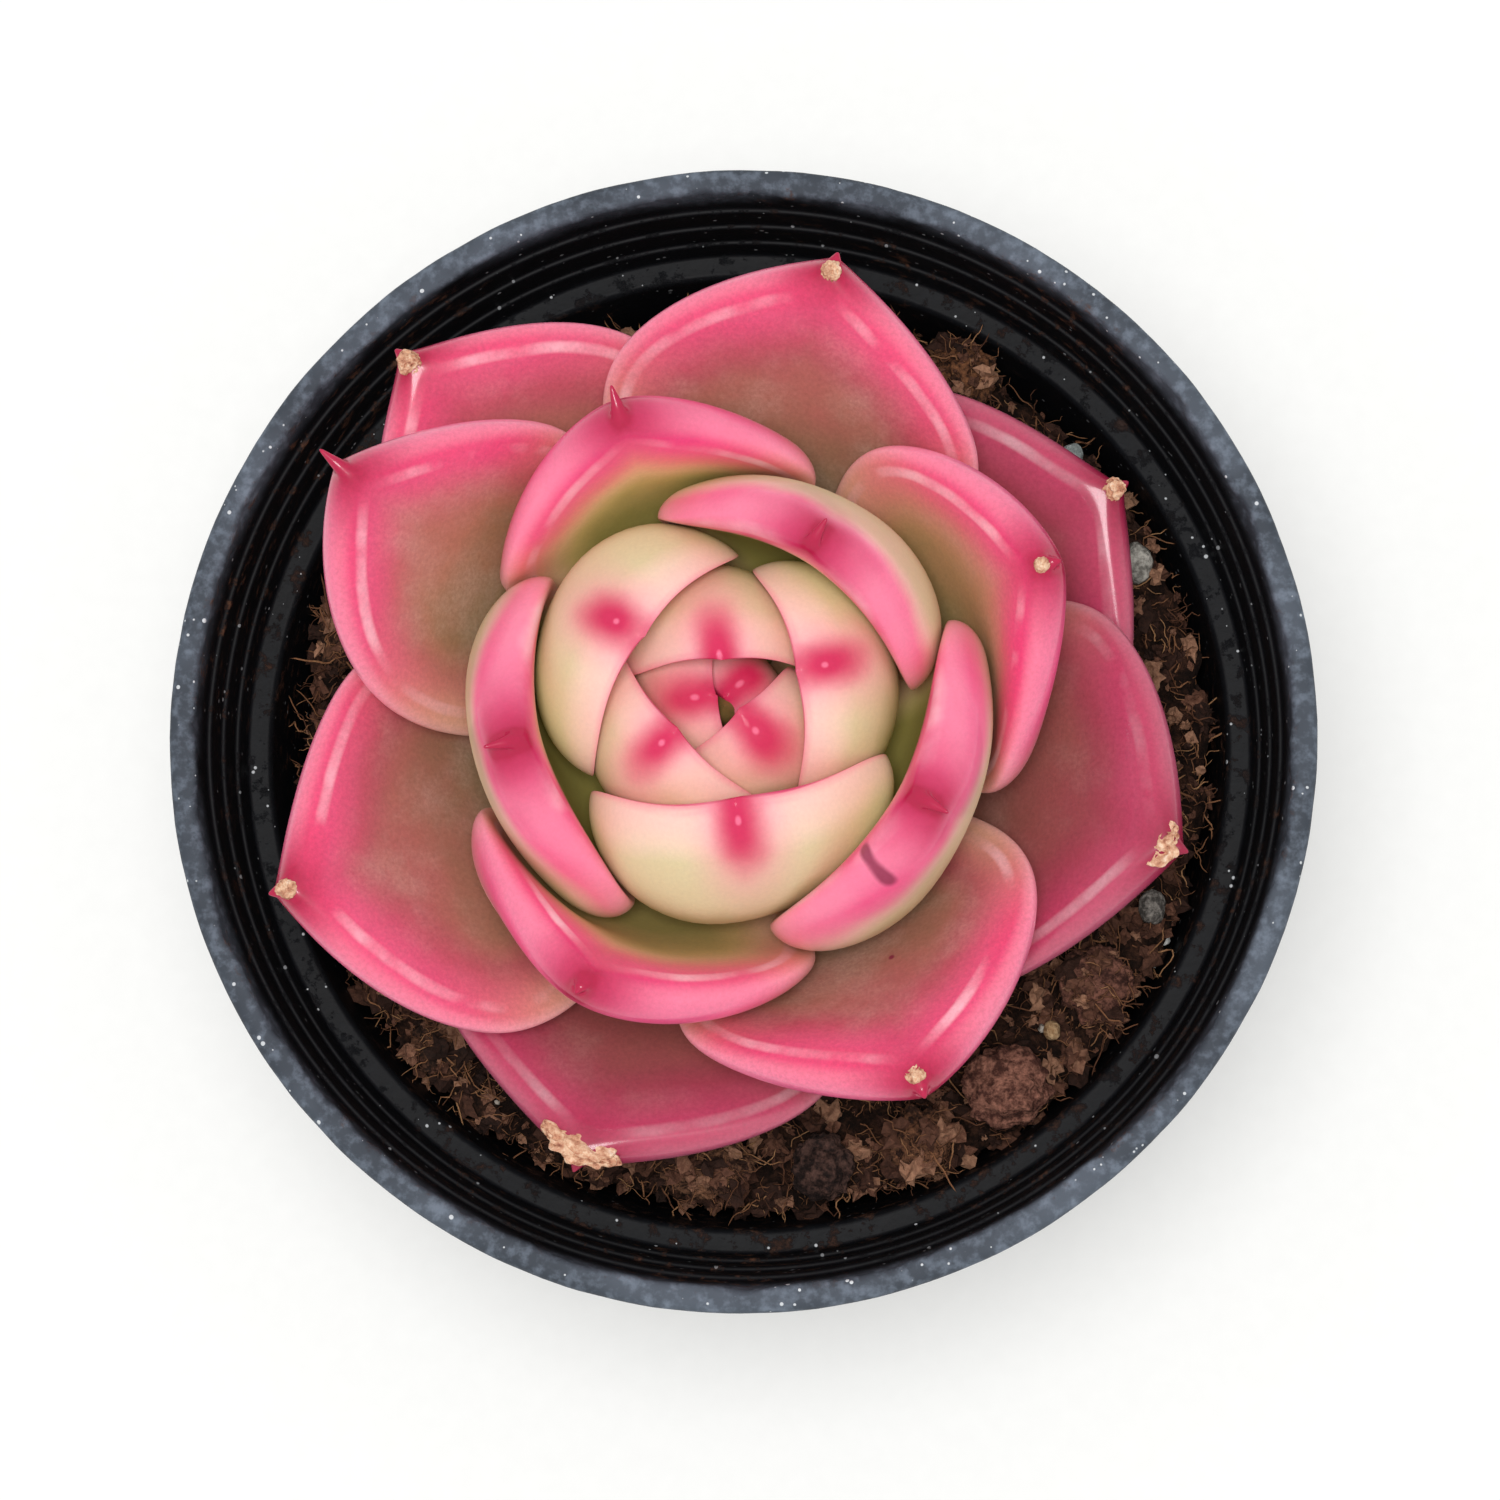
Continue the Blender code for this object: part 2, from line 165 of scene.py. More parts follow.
def as_colour(value):
    """The linear colour of a #RRGGBB code. Other values stay as they are."""
    return paint(value) if isinstance(value, str) and value.startswith("#") else value


class Finish(Recipe):
    """A material with one Principled shader, whose constant values are set on its own sockets."""

    def __init__(self, name, **constants):
        self.material = bpy.data.materials.new(name)
        self.material.use_nodes = True
        super().__init__(self.material.node_tree)
        self.shader = self.tree.nodes["Principled BSDF"]
        for socket, value in constants.items():
            self.shader.inputs[socket.replace("_", " ")].default_value = value
        self.place = self.node("ShaderNodeTexCoord", out="Object")

    def feed(self, **readings):
        for socket, reading in readings.items():
            self.tree.links.new(reading.socket, self.shader.inputs[socket.replace("_", " ")])

    def grain(self, size, detail=2.0, roughness=0.5, stretch=None):
        """Noise whose features are about size metres across."""
        where = self.place
        if stretch:
            where = self.node("ShaderNodeMapping", None, {"Vector": where, "Scale": stretch})
        values = {"Vector": where, "Scale": 1 / size, "Detail": detail, "Roughness": roughness}
        return self.node("ShaderNodeTexNoise", None, values)

    def mix(self, factor, first, second):
        return self.node("ShaderNodeMix", {"data_type": "RGBA"}, {0: factor, 6: first, 7: second}, 2)

    def shade(self, colour, factor):
        """A colour made lighter or darker by a factor that varies over the surface."""
        values = {0: colour, "Scale": factor}
        return self.node("ShaderNodeVectorMath", {"operation": "SCALE"}, values)

    def ramp(self, factor, stops):
        return self.node("ShaderNodeValToRGB", {"stops": stops}, {0: factor})

    def relief(self, height, distance, strength=1.0):
        values = {"Height": height, "Distance": distance, "Strength": strength}
        self.feed(Normal=self.node("ShaderNodeBump", None, values))


scene = bpy.context.scene


def add_piece(name, mesh, material):
    """A new object with its place in its mesh."""
    mesh.materials.clear()
    mesh.materials.append(material)
    mesh.shade_smooth()
    obj = bpy.data.objects.new(name, mesh)
    scene.collection.objects.link(obj)
    return obj


class GrowthTree(Recipe):
    """A Geometry Nodes tree with named inputs, run on an object and baked into its mesh."""

    def __init__(self, name, **inputs):
        super().__init__(bpy.data.node_groups.new(name, "GeometryNodeTree"))
        face = self.tree.interface
        face.new_socket("Geometry", in_out="INPUT", socket_type="NodeSocketGeometry")
        face.new_socket("Geometry", in_out="OUTPUT", socket_type="NodeSocketGeometry")
        for label, kind in inputs.items():
            face.new_socket(label, in_out="INPUT", socket_type="NodeSocket" + kind)
        entry = self.tree.nodes.new("NodeGroupInput")
        self.given = {output.name: Reading(self, output) for output in entry.outputs if output.name}

    def end(self, geometry):
        whole = self.node("GeometryNodeRealizeInstances", None, {"Geometry": geometry})
        dressed = self.node("GeometryNodeSetMaterial", None, {0: whole, "Material": self.given["Material"]})
        exit_node = self.tree.nodes.new("NodeGroupOutput")
        self.tree.links.new(dressed.socket, exit_node.inputs["Geometry"])

    def attach(self, obj, **values):
        modifier = obj.modifiers.new(self.tree.name, "NODES")
        modifier.node_group = self.tree
        for item in self.tree.interface.items_tree:
            if item.in_out == "INPUT" and item.name in values:
                modifier[item.identifier] = values[item.name]


def mesh_of(bm, name):
    """The mesh that was built in bm, which is then freed."""
    mesh = bpy.data.meshes.new(name)
    bm.to_mesh(mesh)
    bm.free()
    return mesh


def settle(obj):
    """Turns an object's modifiers into its plain mesh."""
    depsgraph = bpy.context.evaluated_depsgraph_get()
    mesh = bpy.data.meshes.new_from_object(obj.evaluated_get(depsgraph))
    obj.modifiers.clear()
    obj.data = mesh
    return mesh


# The outline, (radius, height) in millimetres: under the floor, up the outside, over the rim, down inside.
POT_OUTLINE = [
    (0.0, 2.1), (12.0, 2.1), (28.2, 2.1), (28.5, 1.6), (28.5, 0.0), (31.1, 0.0), (31.5, 0.5), (39.6, 61.7),
    (41.9, 61.7), (43.9, 72.4), (44.6, 72.6), (45.0, 73.1), (45.0, 74.4), (44.8, 74.8), (44.4, 75.0),
    (43.3, 75.0), (43.0, 74.7), (42.5, 71.7), (42.1, 71.7), (41.9, 68.5), (41.5, 68.5), (41.3, 65.2),
    (40.9, 65.2), (40.6, 62.7), (38.9, 62.7), (38.6, 62.3), (30.8, 3.8), (30.0, 3.0), (12.0, 3.0), (0.0, 3.0),
]
CORNER_CUT = 0.28
POT_SEGMENTS = 288
RIM_WANDER = 0.55 * MM
DRAIN_COUNT = 6
DRAIN_CIRCLE = 19 * MM
DRAIN_RADIUS = 3.2 * MM


def rounded(outline, cut):
    """The outline with each inner corner replaced by a short curve."""
    points = [outline[0]]
    for before, corner, after in zip(outline, outline[1:], outline[2:]):
        corner_v = Vector(corner)
        ends = []
        for side in (before, after):
            arm = Vector(side) - corner_v
            ends.append(corner_v + arm.normalized() * min(cut, arm.length * 0.4))
        for t in (0.0, 0.35, 0.65, 1.0):
            point = ends[0] * (1 - t) ** 2 + corner_v * 2 * t * (1 - t) + ends[1] * t**2
            points.append((point.x, point.y))
    points.append(outline[-1])
    return points


turning = GrowthTree("turned_wall", Segments="Int", Wander="Float", Material="Material")
outline_count = turning.node("GeometryNodeAttributeDomainSize", None, {0: turning.given["Geometry"]})
around_count = turning.given["Segments"] + 1
sheet = turning.node("GeometryNodeMeshGrid", None, {"Vertices X": outline_count, "Vertices Y": around_count})
index = turning.node("GeometryNodeInputIndex")
step = index.maths("FLOOR", (index + 0.5) / around_count)
angle = (index - step * around_count) * (2 * math.pi) / turning.given["Segments"]
place = turning.node("GeometryNodeInputPosition")
outline_point = turning.node(
    "GeometryNodeSampleIndex",
    {"data_type": "FLOAT_VECTOR", "domain": "POINT"},
    {0: turning.given["Geometry"], "Value": place, "Index": step},
)
split_point = turning.node("ShaderNodeSeparateXYZ", None, {0: outline_point})
radius, height = split_point, split_point.other("Z")
cosine, sine = (angle.maths(operation, angle) for operation in ("COSINE", "SINE"))
rim_track = turning.vector(X=cosine, Y=sine, Z=radius * 30)
ripple = turning.node("ShaderNodeTexNoise", None, {"Vector": rim_track, "Scale": 9.0, "Detail": 4.0})
near_lip = radius.rise(44.2 * MM, 43.2 * MM) * 2.6 + 0.5
wander = (ripple - 0.5) * turning.given["Wander"] * height.rise(72.8 * MM, 74.6 * MM) * near_lip
outer = radius + wander
turned = turning.vector(X=outer * cosine, Y=outer * sine, Z=height)
wall = turning.node("GeometryNodeSetPosition", None, {"Geometry": sheet, "Position": turned})
wall = turning.node("GeometryNodeMergeByDistance", None, {"Geometry": wall, "Distance": 0.002 * MM})
turning.end(wall)

pot_plastic = Finish("black_polypropylene", IOR=1.49, Specular_IOR_Level=0.1)
pot_split = pot_plastic.node("ShaderNodeSeparateXYZ", None, {0: pot_plastic.place})
pot_height = pot_split.other("Z")
pot_radius = pot_split.hypot(pot_split.other("Y"))


def within(slope, start):
    """1 inside the middle of a tapering wall, which has that radius at height 0, and 0 outside it."""
    return (pot_height * slope + start - pot_radius).rise(-0.1 * MM, 0.1 * MM)


on_rim = pot_height.rise(72.0 * MM, 74.6 * MM) * pot_radius.rise(42.6 * MM, 43.2 * MM)
on_ledge = pot_height.rise(62.2 * MM, 62.6 * MM) * pot_height.fall(62.9 * MM, 63.6 * MM)
on_ledge = on_ledge * pot_radius.fall(41.0 * MM, 41.4 * MM)
collar_inside = within(0.19, 29.3 * MM) * pot_height.rise(61.9 * MM, 62.1 * MM)
inside = (within(0.133, 31.1 * MM) + collar_inside).at_most(1.0) * pot_height.rise(40 * MM, 60 * MM)
scuffs = pot_plastic.grain(1.1 * MM, 5.0, 0.62)
cloud = pot_plastic.grain(9 * MM, 3.0)
dust = scuffs.rise(0.42, 0.72) * 0.55 + cloud.rise(0.35, 0.7) * 0.3
outside = pot_radius.rise(42.6 * MM, 43.0 * MM) * pot_height.rise(60 * MM, 62 * MM)
# Painted sheen and dust: the upward-facing rim, the top of the outer wall and the ledge are lightened towards
# a blue grey that stands in for the sky's reflection, varied by the dust.
dust_and_sheen = (on_rim * 0.3 + outside * 0.14 + on_ledge * 0.006 + 0.008) * (0.4 + dust * 1.2)
wall_colour = pot_plastic.mix(dust_and_sheen, "#0C0C0E", "#8A95A4")
white_specks = pot_plastic.node("ShaderNodeTexVoronoi", None, {"Vector": pot_plastic.place, "Scale": 1 / MM})
speck_size = pot_plastic.grain(2.4 * MM, 3.0).rise(0.34, 0.75) * 0.22
speck_mask = (speck_size - white_specks).rise(0.0, 0.05) * (on_rim * 0.8 + on_ledge * 0.5 + inside * 0.3)
wall_colour = pot_plastic.mix(speck_mask.at_most(0.9), wall_colour, "#D9DDE0")
smears = pot_plastic.grain(1.5 * MM, 6.0, 0.7, (1, 1, 1.6)).rise(0.53, 0.70)
smear_zone = pot_plastic.grain(15 * MM, 2.0).rise(0.42, 0.6)
soil_smear = smears * smear_zone * inside * (0.75 - on_ledge * 0.3)
wall_colour = pot_plastic.mix(soil_smear, wall_colour, "#5F4030")
pot_plastic.feed(Base_Color=wall_colour)
pot_plastic.feed(Roughness=(0.44 + dust_and_sheen * 0.5 + soil_smear * 0.4 + cloud * 0.08).at_most(0.95))
pot_plastic.relief(scuffs * 0.6 + white_specks.fall(0.0, 0.2) * speck_mask + smears * inside, 0.12 * MM, 0.55)

outline_mesh = bpy.data.meshes.new("pot_outline")
soft_outline = rounded(POT_OUTLINE, CORNER_CUT)
outline_mesh.from_pydata([(r * MM, 0, z * MM) for r, z in soft_outline], [], [])
pot = add_piece("nursery_pot", outline_mesh, pot_plastic.material)
turning.attach(pot, Segments=POT_SEGMENTS, Wander=RIM_WANDER, Material=pot_plastic.material)
drain_cutters = []
for number in range(DRAIN_COUNT):
    turn = 2 * math.pi * (number + 0.5) / DRAIN_COUNT
    bm = bmesh.new()
    bmesh.ops.create_cone(
        bm, cap_ends=True, segments=40, radius1=DRAIN_RADIUS, radius2=DRAIN_RADIUS, depth=6 * MM,
        matrix=Matrix.Translation((DRAIN_CIRCLE * math.cos(turn), DRAIN_CIRCLE * math.sin(turn), 3 * MM)),
    )
    cutter = bpy.data.objects.new(f"drain_cutter_{number}", mesh_of(bm, f"drain_cutter_{number}"))
    scene.collection.objects.link(cutter)
    hole = pot.modifiers.new(cutter.name, "BOOLEAN")
    hole.operation = "DIFFERENCE"
    hole.solver = "EXACT"
    hole.object = cutter
    drain_cutters.append(cutter)
pot_mesh = settle(pot)
for cutter in drain_cutters:
    bpy.data.objects.remove(cutter)
pot_mesh.shade_smooth()
pot_mesh.set_sharp_from_angle(angle=math.radians(50))
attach(pot, "root")
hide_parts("pot")

# ---------- potting mix
# The root ball is a mix of peat, coir and bark crumbs, which has shrunk a little from the pot's wall. It is
# one closed body: a clumpy top, plain sides in the pot and a socket for the stem.
SOIL_LEVEL = 57.4 * MM
SOIL_RISE = 3.0 * MM
SOIL_FOOT_RADIUS = 29.6 * MM
SOIL_FOOT_HEIGHT = 3.7 * MM
SOIL_TOP_RADIUS = 37.3 * MM
SOIL_EDGE = SOIL_TOP_RADIUS - 0.6 * MM
SOIL_HOLE_RADIUS = 4.9 * MM
SOIL_HOLE_FLOOR = 49 * MM
SOIL_AROUND = 360
SOIL_RINGS = 96
PLANT_CENTRE = Vector((-0.6 * MM, 1.8 * MM, 0))


def soil_height(x, y):
    """Height of the settled soil before its clumps, a little higher towards the front right wall."""
    r = math.hypot(x, y)
    ramp = min(1.0, max(0.0, (r - 22 * MM) / (9 * MM)))
    slope = 0.5 * MM * (x - y) / (38 * MM)
    waves = math.sin(x / (3.1 * MM) + 1.3) * math.cos(y / (3.7 * MM)) + 0.6 * math.sin((x + y) / (2.3 * MM))
    return SOIL_LEVEL + ramp * (SOIL_RISE + slope + 0.35 * MM * waves)


def clumps(x, y):
    """Height that the clumps add to the settled soil."""
    p = Vector((x, y, 0))
    broad = noise.fractal(p / (4.2 * MM), 0.6, 2.1, 3)
    nearest = noise.voronoi(p / (2.6 * MM))[0][0]
    fine = noise.fractal(p / (0.9 * MM) + Vector((7, 3, 1)), 0.5, 2.2, 2)
    return (0.75 * broad + 0.8 * (0.45 - nearest) + 0.22 * fine) * MM


def soil_margin(turn):
    """The uneven edge where the soil has shrunk from the wall."""
    return 0.55 * math.cos(turn - math.radians(315)) * MM + 0.25 * math.sin(5 * turn + 0.7) * MM


def loft(rings, start, end):
    """Points and faces of a closed body through rings of points, with a fan at each end."""
    count = len(rings[0])
    points = [start] + [p for ring in rings for p in ring] + [end]
    faces = []
    for j in range(count):
        k = (j + 1) % count
        faces.append((0, 1 + k, 1 + j))
        for i in range(len(rings) - 1):
            a = 1 + i * count
            faces.append((a + j, a + k, a + count + k, a + count + j))
        a = 1 + (len(rings) - 1) * count
        faces.append((a + j, a + k, len(points) - 1))
    return points, faces


def plain_mesh(name, points, faces):
    mesh = bpy.data.meshes.new(name)
    mesh.from_pydata([tuple(p) for p in points], [], faces)
    mesh.validate()
    return mesh


def built_piece(name, points, faces, finish):
    return add_piece(name, plain_mesh(name, points, faces), finish.material)


def ring_around(radius_at, height_at, centre=Vector((0, 0, 0)), count=SOIL_AROUND):
    """Points round an upright axis, with the radius by the turn and the height by the place."""
    ring = []
    for j in range(count):
        turn = 2 * math.pi * j / count
        r = radius_at(turn)
        x, y = centre.x + r * math.cos(turn), centre.y + r * math.sin(turn)
        ring.append((x, y, height_at(x, y)))
    return ring


def ragged(turn):
    edge = Vector((math.cos(turn), math.sin(turn), 0)) * 11
    return soil_margin(turn) + 0.7 * MM * noise.fractal(edge, 0.7, 2.0, 4)


soil_rings = [ring_around(lambda t: SOIL_FOOT_RADIUS, lambda x, y: SOIL_FOOT_HEIGHT)]
for below in (30, 12, 6):
    side = SOIL_TOP_RADIUS - 1.4 * MM - 0.11 * below * MM
    soil_rings.append(ring_around(lambda t: side + 0.4 * ragged(t), lambda x, y: SOIL_LEVEL - below * MM))
soil_rings.append(ring_around(lambda t: SOIL_EDGE + ragged(t), lambda x, y: SOIL_LEVEL - 1.5 * MM))
for ring_number in range(SOIL_RINGS + 1):
    share = 1 - ring_number / SOIL_RINGS
    reach = SOIL_EDGE - SOIL_HOLE_RADIUS
    shoulder = 0.9 * MM * max(0.0, share - 0.97) / 0.03
    centre = PLANT_CENTRE * (1 - share)
    calm = min(1.0, 8 * (1 - share), 8 * share) if share < 0.5 else 1.0
    soil_rings.append(ring_around(
        lambda t: SOIL_HOLE_RADIUS + reach * share + ragged(t) * share**2,
        lambda x, y: soil_height(x, y) + calm * clumps(x, y) - shoulder,
        centre,
    ))
soil_rings.append(ring_around(lambda t: SOIL_HOLE_RADIUS, lambda x, y: SOIL_HOLE_FLOOR, PLANT_CENTRE))
soil_ends = (0, 0, 3.3 * MM), (PLANT_CENTRE.x, PLANT_CENTRE.y, SOIL_HOLE_FLOOR)

mix_finish = Finish("peat_and_coir", IOR=1.4, Specular_IOR_Level=0.25)
peat = mix_finish.grain(1.6 * MM, 6.0, 0.65)
coir = mix_finish.grain(0.45 * MM, 4.0, 0.7)
mix_tone = peat * 0.6 + coir * 0.4
mix_stops = [(0.34, "#0C0604"), (0.48, "#1E110B"), (0.60, "#3E271C"), (0.74, "#6E4A38")]
mix_finish.feed(Base_Color=mix_finish.ramp(mix_tone, mix_stops), Roughness=0.86 + coir * 0.12)
mix_finish.relief(peat * 0.6 + coir, 0.5 * MM, 0.9)
soil = built_piece("potting_mix", *loft(soil_rings, *soil_ends), mix_finish)
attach(soil, "root")
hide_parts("soil")

# ---------- lumps
# A fired-clay pebble, a chunk of bark, six crumbly lumps of peat and a few coarse grains lie on the soil.
# Each is a rounded body broken up by noise, and sits where the frame has it.
# name: (share of roughness, slot, dark colour, light colour)
LUMPS = {
    "clay_pebble": (0.17, "clay", "#4A2A22", "#A06E5C"),
    "bark_chunk": (0.18, "bark", "#1E120F", "#5A4038"),
    "peat_lump_1": (0.20, "peat", "#2E1A11", "#8C6248"),
    "peat_lump_2": (0.20, "peat", "#2E1A11", "#84593F"),
    "peat_lump_3": (0.16, "peat", "#3A2019", "#8A5C4C"),
    "peat_lump_4": (0.20, "peat", "#2E1A11", "#8C5C3C"),
    "peat_lump_5": (0.18, "peat", "#24150E", "#6E4A36"),
    "peat_lump_6": (0.18, "peat", "#24150E", "#6E4A36"),
    "grit_white_1": (0.10, "grit_white", "#9C9C98", "#E6E6E2"),
    "grit_white_2": (0.10, "grit_white", "#8E9694", "#DDE4E2"),
    "grit_white_3": (0.12, "grit_white", "#75716A", "#C9C4BA"),
    "grit_grey": (0.12, "grit_grey", "#4C4844", "#A39C94"),
    "grit_tan_1": (0.10, "grit_tan", "#8E6C4A", "#D9B88E"),
    "grit_tan_2": (0.10, "grit_tan", "#7E5638", "#C99A70"),
}
LARGE_LUMP = 1.7 * MM


def shaped_ball(name, subdivisions, radius, rule):
    """A ball whose points are each moved by a rule."""
    bm = bmesh.new()
    bmesh.ops.create_icosphere(bm, subdivisions=subdivisions, radius=radius)
    for v in bm.verts:
        v.co = rule(v.co.copy())
    return mesh_of(bm, name)


def broken_up(co, shift, broken, middle, half_size):
    """A point of a unit ball, moved to where it lies on a crumbly lump."""
    coarse = noise.fractal(co * 1.3 + shift, 0.8, 2.0, 3)
    lumpy = coarse + 0.5 * noise.fractal(co * 4.5 + shift, 0.6, 2.1, 4)
    cracks = 0.5 - noise.voronoi(co * 2.2 + shift)[0][0]
    swell = 0.93 + broken * (lumpy + cracks)
    return Vector(middle) + Vector(a * b for a, b in zip(co * swell, half_size))


lump_pieces = []
for order, (node_name, (broken, slot_name, dark, light)) in enumerate(LUMPS.items()):
    low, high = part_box(node_name)
    middle, half_size = (low + high) / 2, (high - low) / 2
    shift = Vector((order * 3.1, order * 1.7, 0))
    lump_mesh = shaped_ball(
        node_name + "_lump", 5 if half_size.x > LARGE_LUMP else 3, 1.0,
        lambda co: broken_up(co, shift, broken, middle, half_size),
    )
    crumbly = Finish(node_name + "_crumb", Specular_IOR_Level=0.25)
    blotch = crumbly.grain(1.3 * MM, 5.0, 0.65)
    fine = crumbly.grain(0.35 * MM, 3.0, 0.6)
    lump_stops = [(0.30, paint(dark, 0.5)), (0.44, dark), (0.62, light), (0.75, light)]
    lump_colour = crumbly.ramp(blotch * 0.65 + fine * 0.35, lump_stops)
    crumbly.feed(Base_Color=lump_colour, Roughness=0.8 + fine * 0.18)
    crumbly.relief(blotch + fine * 0.6, 0.4 * MM, 0.9)
    lump = add_piece(node_name + "_body", lump_mesh, crumbly.material)
    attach(lump, "root")
    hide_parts(node_name)
    if slot_name == "peat":
        lump_pieces.append(lump)

# ---------- loose mix
# Crumbs of bark and peat, curled coir fibres and small chips of perlite lie over the soil and its lumps.
# Each kind is strewn on the surface from a few drawn shapes.
FIBRE_STEPS = 8
FIBRE_RADIUS = 0.026
FULL_TURN = 6.283


def drawn_shapes(label, meshes):
    """A collection of shapes to strew, kept out of the scene."""
    shapes = bpy.data.collections.new(label)
    for mesh in meshes:
        shapes.objects.link(bpy.data.objects.new(mesh.name, mesh))
    return shapes


def crumb_mesh(number, rough):
    """A jagged crumb, about 1 unit long and flatter than it is wide."""
    shift = Vector((number * 5.3, number * 2.9, 1))

    def jagged(co):
        co *= 1 + rough * noise.noise(co * 3.2 + shift) * 2
        co.z *= 0.72
        co.y *= 0.6 + 0.12 * (number % 4)
        return co

    return shaped_ball(f"crumb_{number}", 2, 0.5, jagged)


def fibre_mesh(number):
    """One curled strand, about 1 unit long, with a three-sided section."""
    rings = []
    place = Vector((0, 0, 0))
    for i in range(FIBRE_STEPS + 1):
        bend = Vector((0, 0, 0))
        for axis in range(3):
            bend[axis] = noise.noise(Vector((i * 0.33, number * 3.7, axis * 5.1)))
        bend.z *= 0.5
        direction = (Vector((0.6, 0, 0.1)) + bend * 1.4).normalized()
        side = direction.cross(Vector((0, 0, 1))).normalized()
        lift = direction.cross(side)
        thick = FIBRE_RADIUS * (1 - 0.6 * abs(i / FIBRE_STEPS - 0.45))
        ring = []
        for k in range(3):
            turn = 2 * math.pi * k / 3
            ring.append(place + (side * math.cos(turn) + lift * math.sin(turn)) * thick)
        rings.append(ring)
        place = place + direction / FIBRE_STEPS
    return plain_mesh(f"fibre_{number}", *loft(rings, Vector((-0.02, 0, 0)), place))


strewing = GrowthTree(
    "strewn_on_soil", Pieces="Collection", Density="Float", Smallest="Float", Largest="Float",
    Lift="Float", Lying="Float", Seed="Int", Material="Material",
)
facing = strewing.node("GeometryNodeInputNormal")
facing_up = strewing.node("ShaderNodeSeparateXYZ", None, {0: facing}, "Z")
spread = strewing.node("ShaderNodeSeparateXYZ", None, {0: strewing.node("GeometryNodeInputPosition")})
from_axis = spread.hypot(spread.other("Y"))
bare = facing_up.rise(0.15, 0.6) * from_axis.rise(17 * MM, 24 * MM) * spread.other("Z").rise(52 * MM, 54 * MM)
given = strewing.given
dots = strewing.node(
    "GeometryNodeDistributePointsOnFaces", {"distribute_method": "RANDOM"},
    {0: given["Geometry"], "Density": given["Density"] * bare, "Seed": given["Seed"]},
)
choices = strewing.node(
    "GeometryNodeCollectionInfo", {"transform_space": "ORIGINAL"},
    {"Collection": given["Pieces"], "Separate Children": True, "Reset Children": True},
)


def at_random(low, high, seed):
    """A number of its own for each strewn piece."""
    values = {2: low, 3: high, "Seed": seed}
    return strewing.node("FunctionNodeRandomValue", {"data_type": "FLOAT"}, values, 1)


tilt_x, tilt_y = (at_random(given["Lying"] * -1.0, given["Lying"], seed) for seed in (11, 12))
turn_z = at_random(0.0, FULL_TURN, 13)
size_share = at_random(0.0, 1.0, 14)
size = given["Smallest"] + (given["Largest"] - given["Smallest"]) * size_share * size_share
pose = strewing.vector(X=tilt_x, Y=tilt_y, Z=turn_z)
strewn = strewing.node(
    "GeometryNodeInstanceOnPoints", None,
    {"Points": dots, "Instance": choices, "Pick Instance": True, "Rotation": pose, "Scale": size},
)
strewn = strewing.node(
    "GeometryNodeTranslateInstances", None,
    {"Instances": strewn, "Translation": strewing.vector(Z=given["Lift"]), "Local Space": False},
)
strewn = strewing.node(
    "GeometryNodeStoreNamedAttribute", {"data_type": "FLOAT", "domain": "INSTANCE"},
    {"Geometry": strewn, "Name": "tint", "Value": at_random(0.0, 1.0, 15)},
)
strewing.end(strewn)


def strew(name, shapes, surface, slot_name, finish, **values):
    """Strews shapes over a copy of the surfaces and keeps only what was strewn."""
    points, faces = [], []
    for base in surface:
        offset = len(points)
        points += [v.co.copy() for v in base.data.vertices]
        faces += [tuple(offset + i for i in p.vertices) for p in base.data.polygons]
    piece = built_piece(name, points, faces, finish)
    strewing.attach(piece, Pieces=shapes, Material=finish.material, **values)
    settle(piece).shade_smooth()
    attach(piece, "root")
    return piece


def loose_finish(name, stops, gloss=0.25):
    """A crumbly finish whose tone differs from piece to piece."""
    loose = Finish(name, Specular_IOR_Level=gloss)
    tone = loose.node("ShaderNodeAttribute", {"attribute_name": "tint"}, None, "Fac")
    fleck = loose.grain(0.4 * MM, 4.0, 0.65)
    loose.feed(Base_Color=loose.ramp(tone * 0.7 + fleck * 0.5 - 0.1, stops), Roughness=0.8 + fleck * 0.15)
    loose.relief(fleck, 0.2 * MM, 0.8)
    return loose


strewn_over = [soil, *lump_pieces]
crumbs = drawn_shapes("crumbs", [crumb_mesh(n, 0.75) for n in range(7)])
bark_crumbs = strew(
    "bark_crumbs", crumbs, strewn_over, "potting_mix",
    loose_finish("bark_crumb", [(0.05, "#140B07"), (0.35, "#3A231A"), (0.65, "#6A4636"), (0.95, "#B08468")]),
    Density=560000.0, Smallest=0.5 * MM, Largest=2.5 * MM, Lift=0.2 * MM, Lying=1.4, Seed=3,
)
bark_crumbs.data.shade_flat()
fibres = drawn_shapes("fibres", [fibre_mesh(n) for n in range(12)])
strew(
    "coir_fibres", fibres, strewn_over, "potting_mix",
    loose_finish("coir_fibre", [(0.05, "#3A2116"), (0.4, "#6A4530"), (0.7, "#8E6243"), (0.95, "#B78C62")]),
    Density=950000.0, Smallest=1.6 * MM, Largest=4.2 * MM, Lift=0.35 * MM, Lying=0.7, Seed=8,
)
chips = drawn_shapes("chips", [crumb_mesh(20 + n, 0.55) for n in range(4)])
strew(
    "perlite_chips", chips, [soil], "grit_white",
    loose_finish("perlite_chip", [(0.05, "#9A8A78"), (0.5, "#C8C4BC"), (0.95, "#EFEFEC")]),
    Density=9000.0, Smallest=0.4 * MM, Largest=1.2 * MM, Lift=0.5 * MM, Lying=1.2, Seed=21,
)
for shapes in (crumbs, fibres, chips):
    for shape in list(shapes.objects):
        bpy.data.objects.remove(shape)
    bpy.data.collections.remove(shapes)

